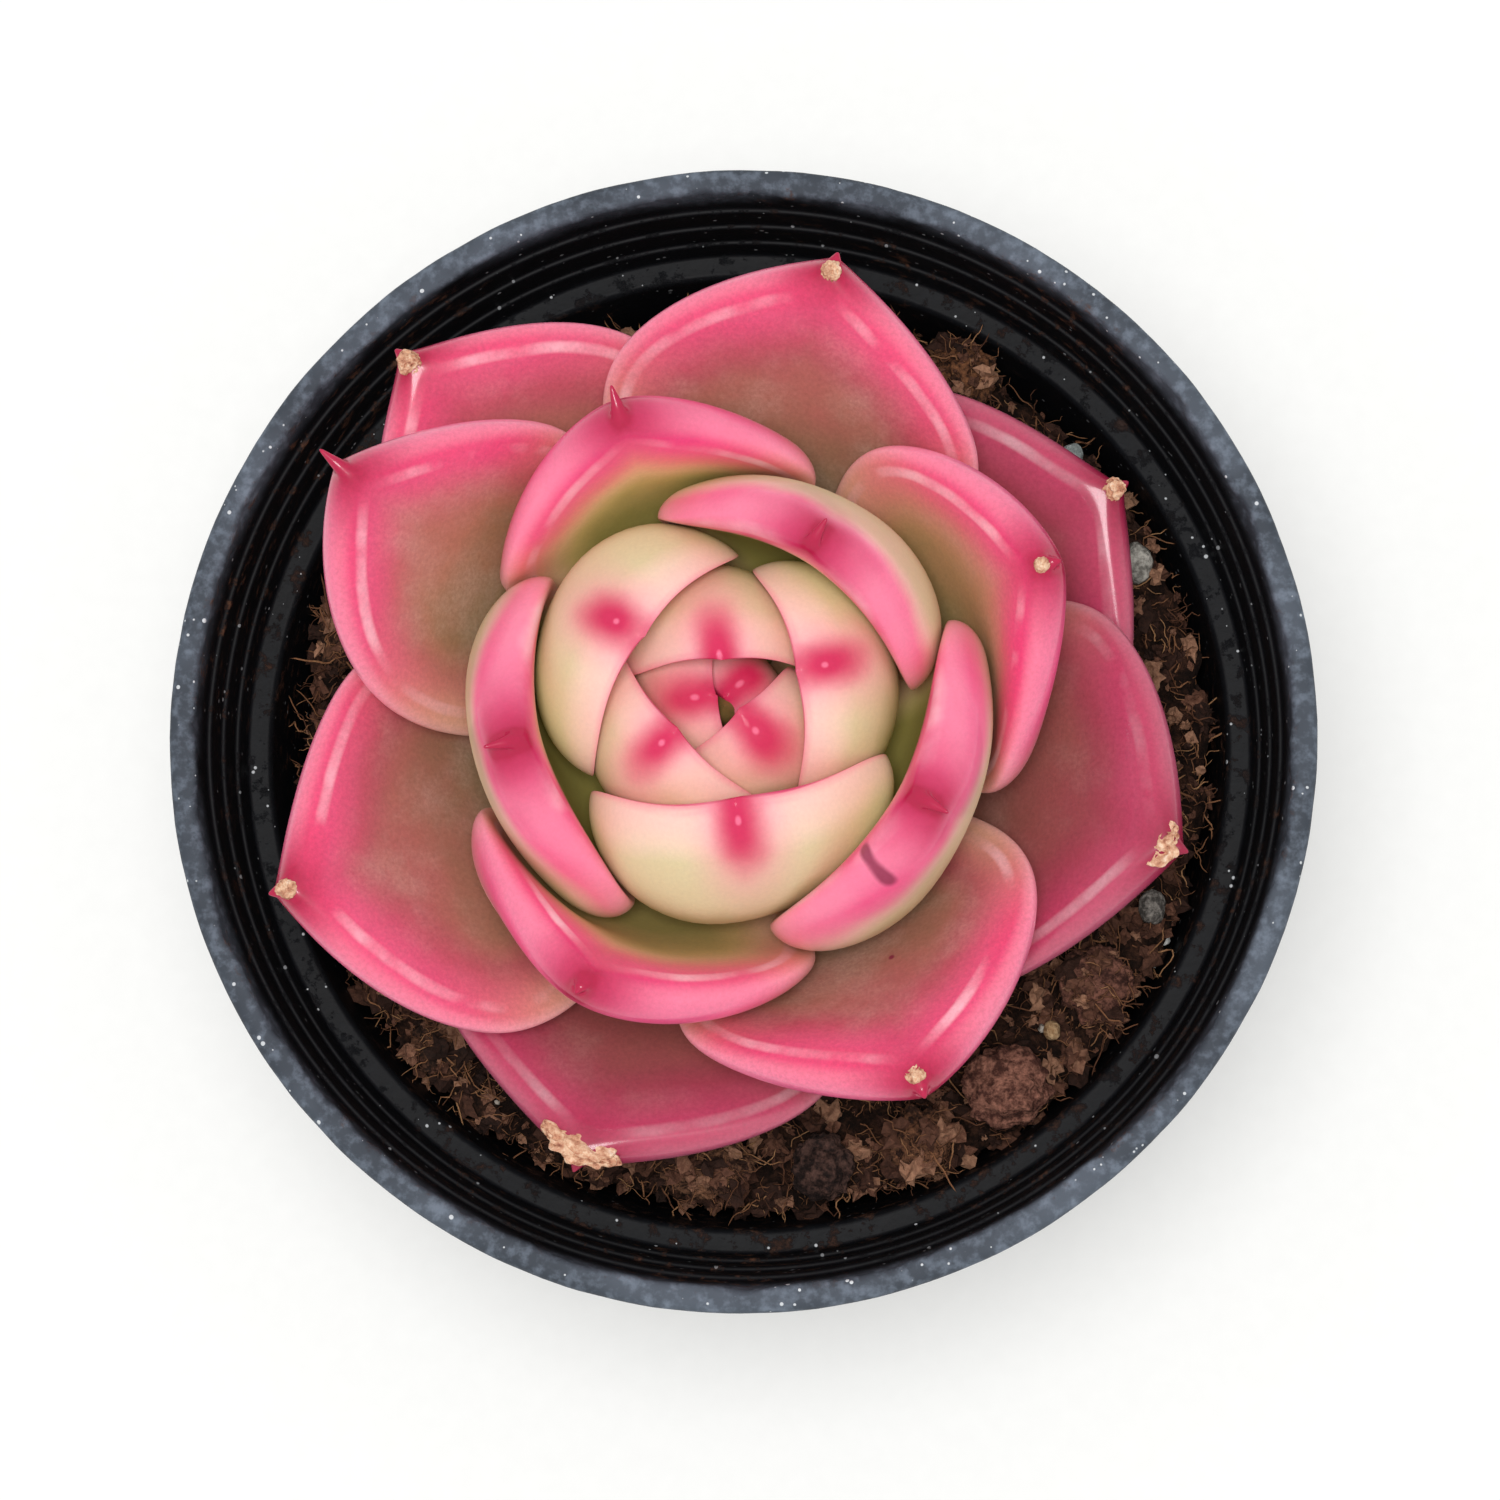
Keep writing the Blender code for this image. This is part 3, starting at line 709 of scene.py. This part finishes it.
# ---------- stem
# The short woody stem that carries the leaves is hidden under them. It is ringed by old leaf scars.
STEM_RINGS = 40
STEM_AROUND = 48
STEM_GIRTH = 4.5
STEM_SHOULDER = 0.66
stem_low, stem_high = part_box("stem")
stem_rings = []
for level in range(STEM_RINGS + 1):
    share = level / STEM_RINGS
    z = stem_low.z + 0.6 * MM + (stem_high.z - stem_low.z - 1.2 * MM) * share
    girth = (STEM_GIRTH if share < STEM_SHOULDER else STEM_GIRTH - 9.5 * (share - STEM_SHOULDER)) * MM
    scar = 0.12 * MM * math.cos(level * 1.9)
    stem_rings.append(ring_around(
        lambda t: girth + scar + 0.1 * MM * math.sin(5 * t + level), lambda x, y: z, PLANT_CENTRE, STEM_AROUND
    ))
stem_ends = [(PLANT_CENTRE.x, PLANT_CENTRE.y, end) for end in (stem_low.z, stem_high.z)]
stem_bark = Finish("stem_bark", Specular_IOR_Level=0.3)
ridges = stem_bark.grain(1.1 * MM, 5.0, 0.6, (1, 1, 3))
bark_stops = [(0.3, "#3A2417"), (0.5, "#6B4A30"), (0.7, "#94805A")]
stem_bark.feed(Base_Color=stem_bark.ramp(ridges, bark_stops), Roughness=0.75 + ridges * 0.2)
stem_bark.relief(ridges, 0.3 * MM, 0.8)
stem = built_piece("woody_stem", *loft(stem_rings, *stem_ends), stem_bark)
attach(stem, "root")
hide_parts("stem")

# ---------- leaves
# Twenty-two fat leaves leave the stem on one spiral, the youngest still closed over the heart. Each is a
# thick blade with a rounded margin that curls up and in, ends in a spine, and lies against the younger
# leaves inside it. The skin is waxy and slightly translucent: green where it is shaded, pink where it is lit.
BUD_LEAVES = 8
DIVERGENCE = 136.8
FIRST_LEAF_ANGLE = 44.0
STEM_TOP = 77 * MM
STEM_RISE = 9 * MM
BLADE_STEPS = 30
LAST_BLADE_ROW = 0.988
SPINE_STEPS = 5
ACROSS_STEPS = 24
WIDEST_AT = 0.60
BASE_WIDTH_SHARE = 0.22
CURL_SHARE = 0.85
SPINE_RADIUS = 0.6 * MM
SPIKE_LENGTH = 2.2 * MM
NUB_LENGTH = 0.8 * MM
BUD_NUB_LENGTH = 0.15 * MM
SPINE_RECURVE = 0.25
SPINE_TAPER = 0.85
LEAF_GAP = 0.12 * MM
PRESS_SAMPLES = 2
PRESS_ROUNDS = 3
SMOOTHING_ROUNDS = 90
SLACK = 0.998
REACH_BEHIND = 20 * MM
SPIKED_LEAVES = (9, 10, 11, 12, 15)

# One row for each leaf, youngest first: turn off the spiral (degrees), blade length, width and thickness
# (millimetres), angle above level at the base and at the tip, half-angle wrapped across the blade, and
# sideways sweep of the tip (degrees).
LEAVES = [
    (-4, 9.5, 11, 4.4, 66, 106, 52, 0),
    (5, 11.5, 11.5, 3.8, 50, 112, 54, 0),
    (-8, 14, 12, 4.2, 30, 114, 56, 0),
    (0, 17.5, 15.5, 4.6, 15, 118, 58, 0),
    (-9, 19, 17.5, 5.0, 10, 111, 58, 0),
    (4, 21, 20, 5.4, 5, 109, 58, 0),
    (3, 23, 21, 4.8, 0, 109, 58, 0),
    (-4, 24, 23.5, 5.8, 0, 104, 58, 0),
    (-2, 27, 24, 5.0, 0, 94, 56, 0),
    (0, 27.5, 24.5, 5.2, 0, 84, 54, 0),
    (-2, 29, 26, 5.4, 0, 82, 52, 0),
    (3, 30, 25, 4.8, 0, 70, 46, -6),
    (3, 32, 27.5, 4.8, 0, 66, 44, -12),
    (2, 31, 28, 4.8, 0, 58, 38, -12),
    (-5, 38, 26, 5.0, 0, 54, 34, -14),
    (3, 36, 30, 5.0, 0, 48, 32, -8),
    (6, 35, 30.5, 5.0, 0, 42, 28, -9),
    (-2, 37, 32, 5.0, 0, 38, 26, -12),
    (-2, 34.5, 31.5, 5.0, 0, 32, 25, -8),
    (7, 35, 28.5, 4.8, 0, 30, 24, 8),
    (-7, 34, 33, 4.8, 0, 26, 22, -4),
    (-7, 31, 32, 4.8, 0, 22, 22, 0),
]
LEAF_COUNT = len(LEAVES)


def share_between(value, low, high):
    """0 up to low, 1 from high on, and in proportion between them."""
    return min(1.0, max(0.0, (value - low) / (high - low)))


def half_width_share(u, lean):
    """Outline of the blade: 1 at its widest, 0 at the tip, which is drawn out where the leaf lies open."""
    if u <= WIDEST_AT:
        return BASE_WIDTH_SHARE + (1 - BASE_WIDTH_SHARE) * math.sin(math.pi / 2 * u / WIDEST_AT) ** 1.3
    x = min(1.0, (u - WIDEST_AT) / (1 - WIDEST_AT))
    return (1 - x ** (2.1 + 0.3 * lean)) ** (1.1 - 0.15 * lean)


def thickness_share(u, openness):
    """Share of the full thickness, which thins towards the tip, most of all on a closed leaf."""
    if u <= WIDEST_AT:
        return 0.34 + 0.66 * math.sin(math.pi / 2 * u / WIDEST_AT)
    x = min(1.0, (u - WIDEST_AT) / (1 - WIDEST_AT))
    return (1 - x ** (3 + 2 * openness)) ** (0.8 - 0.3 * openness)


def refine(grid):
    """The grid with PRESS_SAMPLES steps in place of each of its own, in both directions."""
    for axis in (0, 1):
        first = grid if axis == 0 else np.swapaxes(grid, 0, 1)
        steps = [first[:-1] + (first[1:] - first[:-1]) * i / PRESS_SAMPLES for i in range(PRESS_SAMPLES)]
        fine = np.stack(steps, axis=1).reshape(-1, *first.shape[1:])
        fine = np.concatenate([fine, first[-1:]])
        grid = fine if axis == 0 else np.swapaxes(fine, 0, 1)
    return grid


class Leaf:
    """The middle surface of a leaf as a grid of points with normals, and the half thickness on each side."""

    def __init__(self, number):
        turn, length, width, thick, base_angle, tip_angle, wrap, sweep = LEAVES[number - 1]
        length, width, thick = length * MM, width * MM, thick * MM
        self.number = number
        opened = number > BUD_LEAVES
        spine = SPIKE_LENGTH if number in SPIKED_LEAVES else NUB_LENGTH if opened else BUD_NUB_LENGTH
        azimuth = math.radians(FIRST_LEAF_ANGLE + DIVERGENCE * (number - 1) + turn)
        along = [length * (i / BLADE_STEPS) ** 0.85 for i in range(BLADE_STEPS)]
        along += [length * LAST_BLADE_ROW]
        along += [length + spine * i / SPINE_STEPS for i in range(SPINE_STEPS + 1)]
        across = [math.sin(math.pi / 2 * (2 * j / ACROSS_STEPS - 1)) for j in range(ACROSS_STEPS + 1)]
        share = (number - 1) / (LEAF_COUNT - 1)
        curvature = math.radians(wrap) / (width / 2)
        lean = share_between(tip_angle, 75, 110)
        openness = share_between(number, 7.5, 9.5)
        inner_share = 0.45 + 0.4 * openness
        rows = len(along)
        shape = (rows, len(across))
        self.centre, self.normal = np.zeros((*shape, 3)), np.zeros((*shape, 3))
        self.upper, self.lower = np.zeros(shape), np.zeros(shape)
        self.down, self.side = np.zeros(shape), np.zeros(shape)
        place = Vector(((0.6 + 4.6 * share**0.6) * MM, 0, STEM_TOP - STEM_RISE * share))
        before = 0.0
        for i, l in enumerate(along):
            u = min(1.0, l / length)
            curl = math.sin(math.pi / 2 * min(1.0, u / CURL_SHARE))
            rising = math.radians(base_angle + (tip_angle - base_angle) * curl)
            taper = 1.0
            if l > length:
                rising = math.radians(tip_angle * (SPINE_RECURVE if opened else 0.9))
                taper = 1 - (l - length) / spine * SPINE_TAPER
            aside = math.radians(sweep) * u**1.5
            level = math.cos(rising)
            forward = Vector((level * math.cos(aside), level * math.sin(aside), math.sin(rising)))
            sideways = Vector((-math.sin(aside), math.cos(aside), 0))
            inward = forward.cross(sideways)
            place = place + forward * (l - before)
            before = l
            tip_radius = SPINE_RADIUS * taper * (1.0 if opened else 0.4)
            half = math.hypot(width / 2 * half_width_share(u, lean), tip_radius)
            deep = math.hypot(thick / 2 * thickness_share(u, openness), tip_radius)
            spiny = max(0.0, (u - WIDEST_AT) / (1 - WIDEST_AT)) ** 8
            power = 2 + 1.2 * openness * (1 - spiny)
            sharpness = 0.5 + (0.4 - 0.33 * openness) * (1 - spiny)
            for j, s in enumerate(across):
                bend = curvature * half * s
                rim_in = (1 - math.cos(bend)) / curvature
                self.centre[i, j] = place + sideways * (math.sin(bend) / curvature) + inward * rim_in
                self.normal[i, j] = inward * math.cos(bend) - sideways * math.sin(bend)
                body = max(0.0, 1 - abs(s) ** power) ** sharpness
                self.upper[i, j] = deep * body * inner_share
                self.lower[i, j] = deep * body * (2 - inner_share)
                self.down[i, j] = length - l
                self.side[i, j] = half * s
        c, s = math.cos(azimuth), math.sin(azimuth)
        spin = np.array([[c, -s, 0], [s, c, 0], [0, 0, 1]])
        self.centre = self.centre @ spin.T + np.array(PLANT_CENTRE)
        self.normal = self.normal @ spin.T
        outline = np.stack([self.down[:, -1], self.side[:, -1]], axis=1)
        steps = np.linspace(0, 1, 6, endpoint=False)[:, None, None]
        outline = (outline[:-1] + (outline[1:] - outline[:-1]) * steps).reshape(-1, 2)
        gap_down = self.down[:, :, None] - outline[:, 0]
        gap_side = np.abs(self.side)[:, :, None] - outline[:, 1]
        self.margin = np.sqrt(gap_down**2 + gap_side**2).min(axis=2)
        self.margin[:, 0] = self.margin[:, -1] = 0.0

    def press_against(self, inner):
        """Bends the blade away from the younger leaves that it would run into."""
        rows, cols = self.upper.shape
        k = PRESS_SAMPLES
        for _ in range(PRESS_ROUNDS):
            fine_centre, fine_normal, fine_upper = map(refine, (self.centre, self.normal, self.upper))
            fine_need = np.zeros(fine_upper.shape)
            for i, j in np.ndindex(*fine_need.shape):
                n = Vector(fine_normal[i, j]).normalized()
                start = Vector(fine_centre[i, j]) - n * REACH_BEHIND
                hit, _, _, distance = inner.ray_cast(start, n, 2 * REACH_BEHIND)
                if hit is not None:
                    fine_need[i, j] = max(0.0, fine_upper[i, j] + LEAF_GAP - (distance - REACH_BEHIND))
            fine_need[-SPINE_STEPS * k:] = 0.0  # the spine is stiff, and moves with the end of the blade
            need = np.zeros((rows, cols))
            for i, j in np.ndindex(rows, cols):
                near = fine_need[max(0, (i - 1) * k + 1):(i + 1) * k, max(0, (j - 1) * k + 1):(j + 1) * k]
                need[i, j] = near.max()
            move = need.copy()
            for _ in range(SMOOTHING_ROUNDS):
                padded = np.pad(move, 1, mode="edge")
                mean = (padded[:-2, 1:-1] + padded[2:, 1:-1] + padded[1:-1, :-2] + padded[1:-1, 2:]) / 4
                move = np.maximum(need, SLACK * mean)
            shift = self.normal * move[:, :, None]
            shift[-SPINE_STEPS:] = shift[-SPINE_STEPS - 1]
            self.centre -= shift

    def shell(self):
        """Points, faces and skin readings of the closed leaf."""
        rows, cols = self.upper.shape
        points = []
        skins = {"margin": (self.margin, -1), "down": (self.down, 1), "aside": (self.side, 1)}
        readings = {label: [] for label in skins}
        for i in range(rows):
            top = self.centre[i] + self.normal[i] * self.upper[i][:, None]
            under = self.centre[i] - self.normal[i] * self.lower[i][:, None]
            points += list(top) + list(under[-2:0:-1])
            for label, (grid, sign) in skins.items():
                readings[label] += list(grid[i]) + list(sign * grid[i][-2:0:-1])
        ring = 2 * cols - 2
        faces = []
        for i in range(rows - 1):
            for j in range(ring):
                a, b = i * ring + j, i * ring + (j + 1) % ring
                faces.append((a, a + ring, b + ring, b))
        faces.append(tuple(range(ring)))
        faces.append(tuple(reversed(range((rows - 1) * ring, rows * ring))))
        return points, faces, readings


CRIMSON, SPOT_CRIMSON, SCAR_RED, DEEP_RED = "#AE0C40", "#CA1650", "#80143C", "#A83050"
HOT_PINK, SOFT_PINK, PALE_PINK, SPOT_PINK = "#E84880", "#F27C9C", "#F8C0CA", "#F08CA2"
BUD_MARGIN, CREAM_PINK, BUD_CREAM, FADED_CREAM = "#F2C6BC", "#EEC2B2", "#EACDB4", "#E4BC98"
CREAM, BACK_GREEN, BLOOM = "#D8CBA0", "#B9B27C", "#D2B8A8"
# Colours of the upper face from the margin inwards, on a young leaf and on an old one.
YOUNG_FACE = ["#E8447E", "#F25C88", "#F48488", "#F4AE90", "#EAC48E", "#D0BC74", "#A89C54"]
OLD_FACE = ["#E2406F", "#DC4E76", "#CE5270", "#BE5264", "#B25A60", "#AC685E", "#8E7254"]
FACE_STOPS = (0.0, 0.16, 0.34, 0.5, 0.66, 0.82, 1.0)
# How far the crimson spot of each bud leaf lies below its tip, in millimetres, and the darkest leaves.
SPOT_BELOW_TIP = (0.5, 0.6, 0.9, 0.0, 0.7, 1.1, 1.4, 0.6)
DARK_LEAVES = (19, 21, 22)
# Small blemishes. leaf: (below the tip, aside of the midrib, radius), in millimetres
BLEMISHES = {11: (3.2, -5.6, 0.75), 16: (13.5, 2.0, 0.35)}


def leaf_skin(number):
    """The waxy skin of one leaf, by its millimetres from the margin, from the tip and from the midrib.

    The distance from the margin is positive on the upper face and negative on the back.
    """
    opened = number > BUD_LEAVES
    oldness = share_between(number, 11.5, 15.5)
    skin = Finish(
        f"leaf_skin_{number:02d}", IOR=1.42, Specular_IOR_Level=0.3, Coat_Roughness=0.13,
        Subsurface_Weight=0.1, Subsurface_Radius=(1.0, 0.5, 0.35), Subsurface_Scale=1.2 * MM,
    )

    def reading(label):
        return skin.node("ShaderNodeAttribute", {"attribute_name": label}, None, "Fac") * (1 / MM)

    margin, down, aside = reading("margin"), reading("down"), reading("aside")
    length = LEAVES[number - 1][1]
    along = 1 - down / length
    broad = skin.grain(6 * MM, 3.0) - 0.5
    fine = skin.grain(0.32 * MM, 3.0, 0.7)
    from_tip = (down * down * 0.45 + aside * aside) ** 0.5
    # the upper face, from its pink margin down into the green throat
    reach = 4.8 + 3.0 * share_between(number, 10, 12)
    throat = 0.55 - 0.13 * oldness
    inward = margin.rise(0.3, reach) * 0.6 + along.fall(0.32, 1.0) * throat + broad * 0.26
    face = skin.ramp(inward, [
        (position, [a + (b - a) * oldness for a, b in zip(paint(young), paint(old))])
        for position, young, old in zip(FACE_STOPS, YOUNG_FACE, OLD_FACE)
    ])
    # the back, from its pink margin to cream and at last to green
    back_reach = 3.2 + 5.8 * share_between(number, 10, 13)
    outward = (0 - margin).rise(-0.4, back_reach) * 0.7 + along.fall(0.2, 0.98) * 0.5 + broad * 0.34
    first, second, third = (HOT_PINK, SOFT_PINK, CREAM_PINK) if opened else (BUD_MARGIN, BUD_CREAM, CREAM)
    back = skin.ramp(outward, [(0.0, first), (0.3, second), (0.62, third), (0.86, CREAM), (1.0, BACK_GREEN)])
    if opened:
        # towards its base the margin fades to cream on both sides
        faded = margin.fall(0.5, 5.0) * along.fall(0.38, 0.78) * 0.75
        face = skin.mix(faded, face, FADED_CREAM)
        back = skin.mix(along.fall(0.3, 0.8) * 0.7, back, CREAM)
    colour = skin.mix(margin.rise(-0.25, 0.25), back, face)

    def overlay(mask, tone):
        nonlocal colour
        colour = skin.mix(mask, colour, tone)

    edge = (margin * margin) ** 0.5
    if not opened:
        # the crimson spot on the back of a bud leaf, drawn out below, round its pale point
        below = down - SPOT_BELOW_TIP[number - 1]
        drawn_out = below * (0.85 - below.rise(-0.5, 0.5) * 0.35)
        spot = drawn_out.hypot(aside) + broad * 1.1
        overlay(spot.fall(0.3, 3.4 + 0.1 * number) * 0.75, SPOT_PINK)
        overlay(spot.fall(0.3, 1.9 + 0.06 * number) * 0.95, SPOT_CRIMSON)
        overlay(below.hypot(aside).fall(0.08, 0.26) * 0.7, SOFT_PINK)
    else:
        # a broken pale line on the crest, which is a painted highlight, a paler edge along the margin and the
        # crimson stain round the tip
        from_highlight_line = margin - (0.6 if number < 12 else 1.5) + broad * 0.5
        highlight_strength = along.rise(0.3, 0.6) * from_tip.rise(1.0, 5.0) * (0.32 + broad * 2.6).at_least(0.0)
        overlay((from_highlight_line * from_highlight_line).fall(0.0, 0.3) * highlight_strength, PALE_PINK)
        overlay(edge.fall(0.0, 0.9) * along.fall(0.9, 1.0) * 0.25, PALE_PINK)
        stained = from_tip + broad * 2.4
        patch = stained.fall(-1.5, 4.0 + oldness) * 0.7 + stained.fall(-0.3, 1.1 + oldness) * 0.4
        patch = patch + edge.fall(0.2, 1.6) * stained.fall(2.0, 7.0) * 0.4 + down.fall(-0.5, 0.1)
        overlay(patch.at_most(1.0), CRIMSON)
    if number > 13:
        bloom = skin.grain(7 * MM, 4.0, 0.6).rise(0.42, 0.75) * margin.rise(1.5, 5.0)
        overlay(bloom * (0.05 + fine * 0.35), BLOOM)
    if number in DARK_LEAVES:
        overlay(0.3, DEEP_RED)
        colour = skin.shade(colour, 0.72)
    if number in BLEMISHES:
        low, beside, size = BLEMISHES[number]
        away = (down - low).hypot(aside - beside)
        overlay(away.fall(size * 0.4, size) * 0.85, SCAR_RED)
    contrast = 0.2 + 0.36 * oldness
    colour = skin.shade(colour, 1 - contrast * 0.55 + fine * contrast)
    rough = 0.32 + fine * 0.2 + edge.rise(1.0, 5.0) * 0.15
    if not opened:
        rough = rough + from_tip.fall(0.2, 0.9) * 0.35
    skin.feed(Base_Color=colour, Roughness=rough)
    skin.feed(Coat_Weight=edge.fall(2.0, 6.0) * (0.5 if opened else 0.1) + 0.06)
    skin.relief(fine * 0.25 + broad * 0.5, 0.12 * MM, 0.35)
    return skin


# The youngest leaves of all are still one small green point between the others.
HEART_LOW, HEART_HIGH, HEART_RADIUS = 76 * MM, 86.6 * MM, 1.5 * MM
HEART_PLACE = PLANT_CENTRE + Vector((-0.1 * MM, -0.8 * MM, 0))
HEART_RINGS = 15
HEART_AROUND = 24
heart_rings = []
for level in range(HEART_RINGS + 1):
    share = level / HEART_RINGS
    girth = HEART_RADIUS * math.sqrt(1 - share**5) + 0.02 * MM
    ring_height = HEART_LOW + (HEART_HIGH - HEART_LOW) * share
    heart_rings.append(ring_around(lambda t: girth, lambda x, y: ring_height, HEART_PLACE, HEART_AROUND))
heart_ends = [(HEART_PLACE.x, HEART_PLACE.y, z) for z in (HEART_LOW - 0.1 * MM, HEART_HIGH + 0.05 * MM)]
heart_green = Finish("heart_green", Specular_IOR_Level=0.4)
heart_grain = heart_green.grain(0.8 * MM, 3.0)
heart_colour = heart_green.mix(heart_grain, "#5C4E2C", "#8A7A44")
heart_green.feed(Base_Color=heart_colour, Roughness=0.4 + heart_grain * 0.1)
heart = built_piece("heart_bud", *loft(heart_rings, *heart_ends), heart_green)
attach(heart, "root")

# On the older leaves the spine has dried, to a small tan nub or to a crumpled papery flake.
# leaf: (length, width, thickness, reach back over the blade), in millimetres
DRIED_TIPS = {
    14: (1.5, 1.2, 1.1, 0.3), 16: (1.8, 1.6, 1.2, 0.9), 17: (1.8, 1.6, 1.3, 0.4), 18: (1.8, 1.5, 1.2, 0.3),
    19: (4.0, 3.8, 0.9, 1.9), 20: (2.2, 1.9, 1.4, 0.6), 21: (3.6, 6.0, 1.0, 1.4), 22: (2.1, 1.7, 1.3, 0.4),
}
papery = Finish("papery_tip", Specular_IOR_Level=0.25)
streaks = papery.grain(0.7 * MM, 5.0, 0.65)
tip_stops = [(0.32, "#8A5340"), (0.44, "#C48F72"), (0.58, "#E2BC9C"), (0.72, "#F3E0CC")]
papery.feed(Base_Color=papery.ramp(streaks, tip_stops), Roughness=0.6 + streaks * 0.2)
papery.relief(streaks, 0.25 * MM, 0.8)


def dried_tip(leaf, long, wide, thick, back):
    """A crumpled body that lies on the end of a blade."""
    row, middle = leaf.upper.shape[0] - SPINE_STEPS - 1, leaf.upper.shape[1] // 2
    tip, below = Vector(leaf.centre[row, middle]), Vector(leaf.centre[row - 3, middle])
    onward = (tip - below).normalized()
    inward = Vector(leaf.normal[row, middle])
    across = onward.cross(inward).normalized()
    ruffled = min(wide, 3.5)

    def crumpled(co):
        where = co * 3.0 + Vector((leaf.number * 2.3, leaf.number, 0))
        crumple = noise.noise(where) + 0.6 * noise.noise(where * 2.3)
        fold = 1 - abs(noise.noise(Vector((co.x * 5, co.y * 2.4, co.z * 2)) + where)) * 2
        spread = co * (1 + 0.12 * ruffled * crumple)
        rise = spread.z * thick + 0.1 * ruffled * thick * fold
        flat = onward * (spread.x * long - back) + across * spread.y * wide
        return tip + (flat + inward * (rise + 0.6)) * MM

    return shaped_ball(f"dried_tip_{leaf.number}", 5, 0.5, crumpled)


grown_points, grown_faces = [], []
for number in range(1, LEAF_COUNT + 1):
    leaf = Leaf(number)
    if grown_points:
        leaf.press_against(BVHTree.FromPolygons(grown_points, grown_faces))
    points, faces, readings = leaf.shell()
    offset = len(grown_points)
    grown_points += [tuple(p) for p in points]
    grown_faces += [tuple(offset + i for i in f) for f in faces]
    piece = built_piece(f"fat_leaf_{number:02d}", points, faces, leaf_skin(number))
    for label, values in readings.items():
        attribute = piece.data.attributes.new(label, "FLOAT", "POINT")
        attribute.data.foreach_set("value", np.array(values, np.float32))
    smooth = piece.modifiers.new("smooth", "SUBSURF")
    smooth.levels = smooth.render_levels = 1
    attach(piece, "root")
    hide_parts(f"leaf_{number:02d}")
    if number in DRIED_TIPS:
        dry = add_piece(f"dried_tip_{number:02d}", dried_tip(leaf, *DRIED_TIPS[number]), papery.material)
        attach(dry, "root")

# ---------- studio
# A plain pale floor, an even pale sky for fill and one soft lamp overhead, which draws the bright lines
# along the rounded leaf margins, beside a pale highlight line painted on the crests of the open leaves. The
# camera looks almost straight down.
HALF_FLOOR = 2.0
SKY_STRENGTH = 0.72
LAMP_SIZE = 0.24
LAMP_POWER = 2.7
LAMP_PLACE = Vector((0.0, -0.03, 0.75))
LAMP_TOWARDS = Vector((0.0, 0.03, -0.67))
CAMERA_DISTANCE = 0.35
CAMERA_TILT = math.radians(6.0)
CAMERA_TOWARDS = math.radians(-65.0)
FRAME_WIDTH = 117.2 * MM
SENSOR_WIDTH = 36
floor_corners = [(x * HALF_FLOOR, y * HALF_FLOOR, 0) for x, y in ((-1, -1), (1, -1), (1, 1), (-1, 1))]
paper = Finish("white_paper", Specular_IOR_Level=0.1)
paper_grain = paper.grain(2 * MM, 2.0)
paper.feed(Base_Color=paper.mix(paper_grain, "#F6F6F4", "#FAFAF8"), Roughness=0.9 + paper_grain * 0.05)
floor = built_piece("studio_floor", floor_corners, [(0, 1, 2, 3)], paper)

world = bpy.data.worlds.new("studio")
world.use_nodes = True
sky = world.node_tree.nodes["Background"]
sky.inputs["Color"].default_value = (1.0, 1.0, 1.0, 1.0)
sky.inputs["Strength"].default_value = SKY_STRENGTH
scene.world = world

lamp_data = bpy.data.lights.new("overhead_softbox", "AREA")
lamp_data.shape = "DISK"
lamp_data.size = LAMP_SIZE
lamp_data.energy = LAMP_POWER
lamp = bpy.data.objects.new("overhead_softbox", lamp_data)
lamp.location = LAMP_PLACE
lamp.rotation_euler = LAMP_TOWARDS.to_track_quat("-Z", "Y").to_euler()
scene.collection.objects.link(lamp)

aim = Vector((0.78 * MM, -1.25 * MM, 75 * MM))
back = Vector((
    math.sin(CAMERA_TILT) * math.cos(CAMERA_TOWARDS),
    math.sin(CAMERA_TILT) * math.sin(CAMERA_TOWARDS),
    math.cos(CAMERA_TILT),
))
right = Vector((0, 1, 0)).cross(back).normalized()
up = back.cross(right)
camera_data = bpy.data.cameras.new("camera")
camera_data.sensor_width = SENSOR_WIDTH
camera_data.lens = SENSOR_WIDTH * CAMERA_DISTANCE / FRAME_WIDTH
camera_data.clip_start = 0.01
camera = bpy.data.objects.new("camera", camera_data)
turned_to_aim = Matrix((right, up, back)).transposed().to_4x4()
camera.matrix_world = Matrix.Translation(aim + back * CAMERA_DISTANCE) @ turned_to_aim
scene.collection.objects.link(camera)
scene.camera = camera
scene.view_settings.view_transform = "Standard"
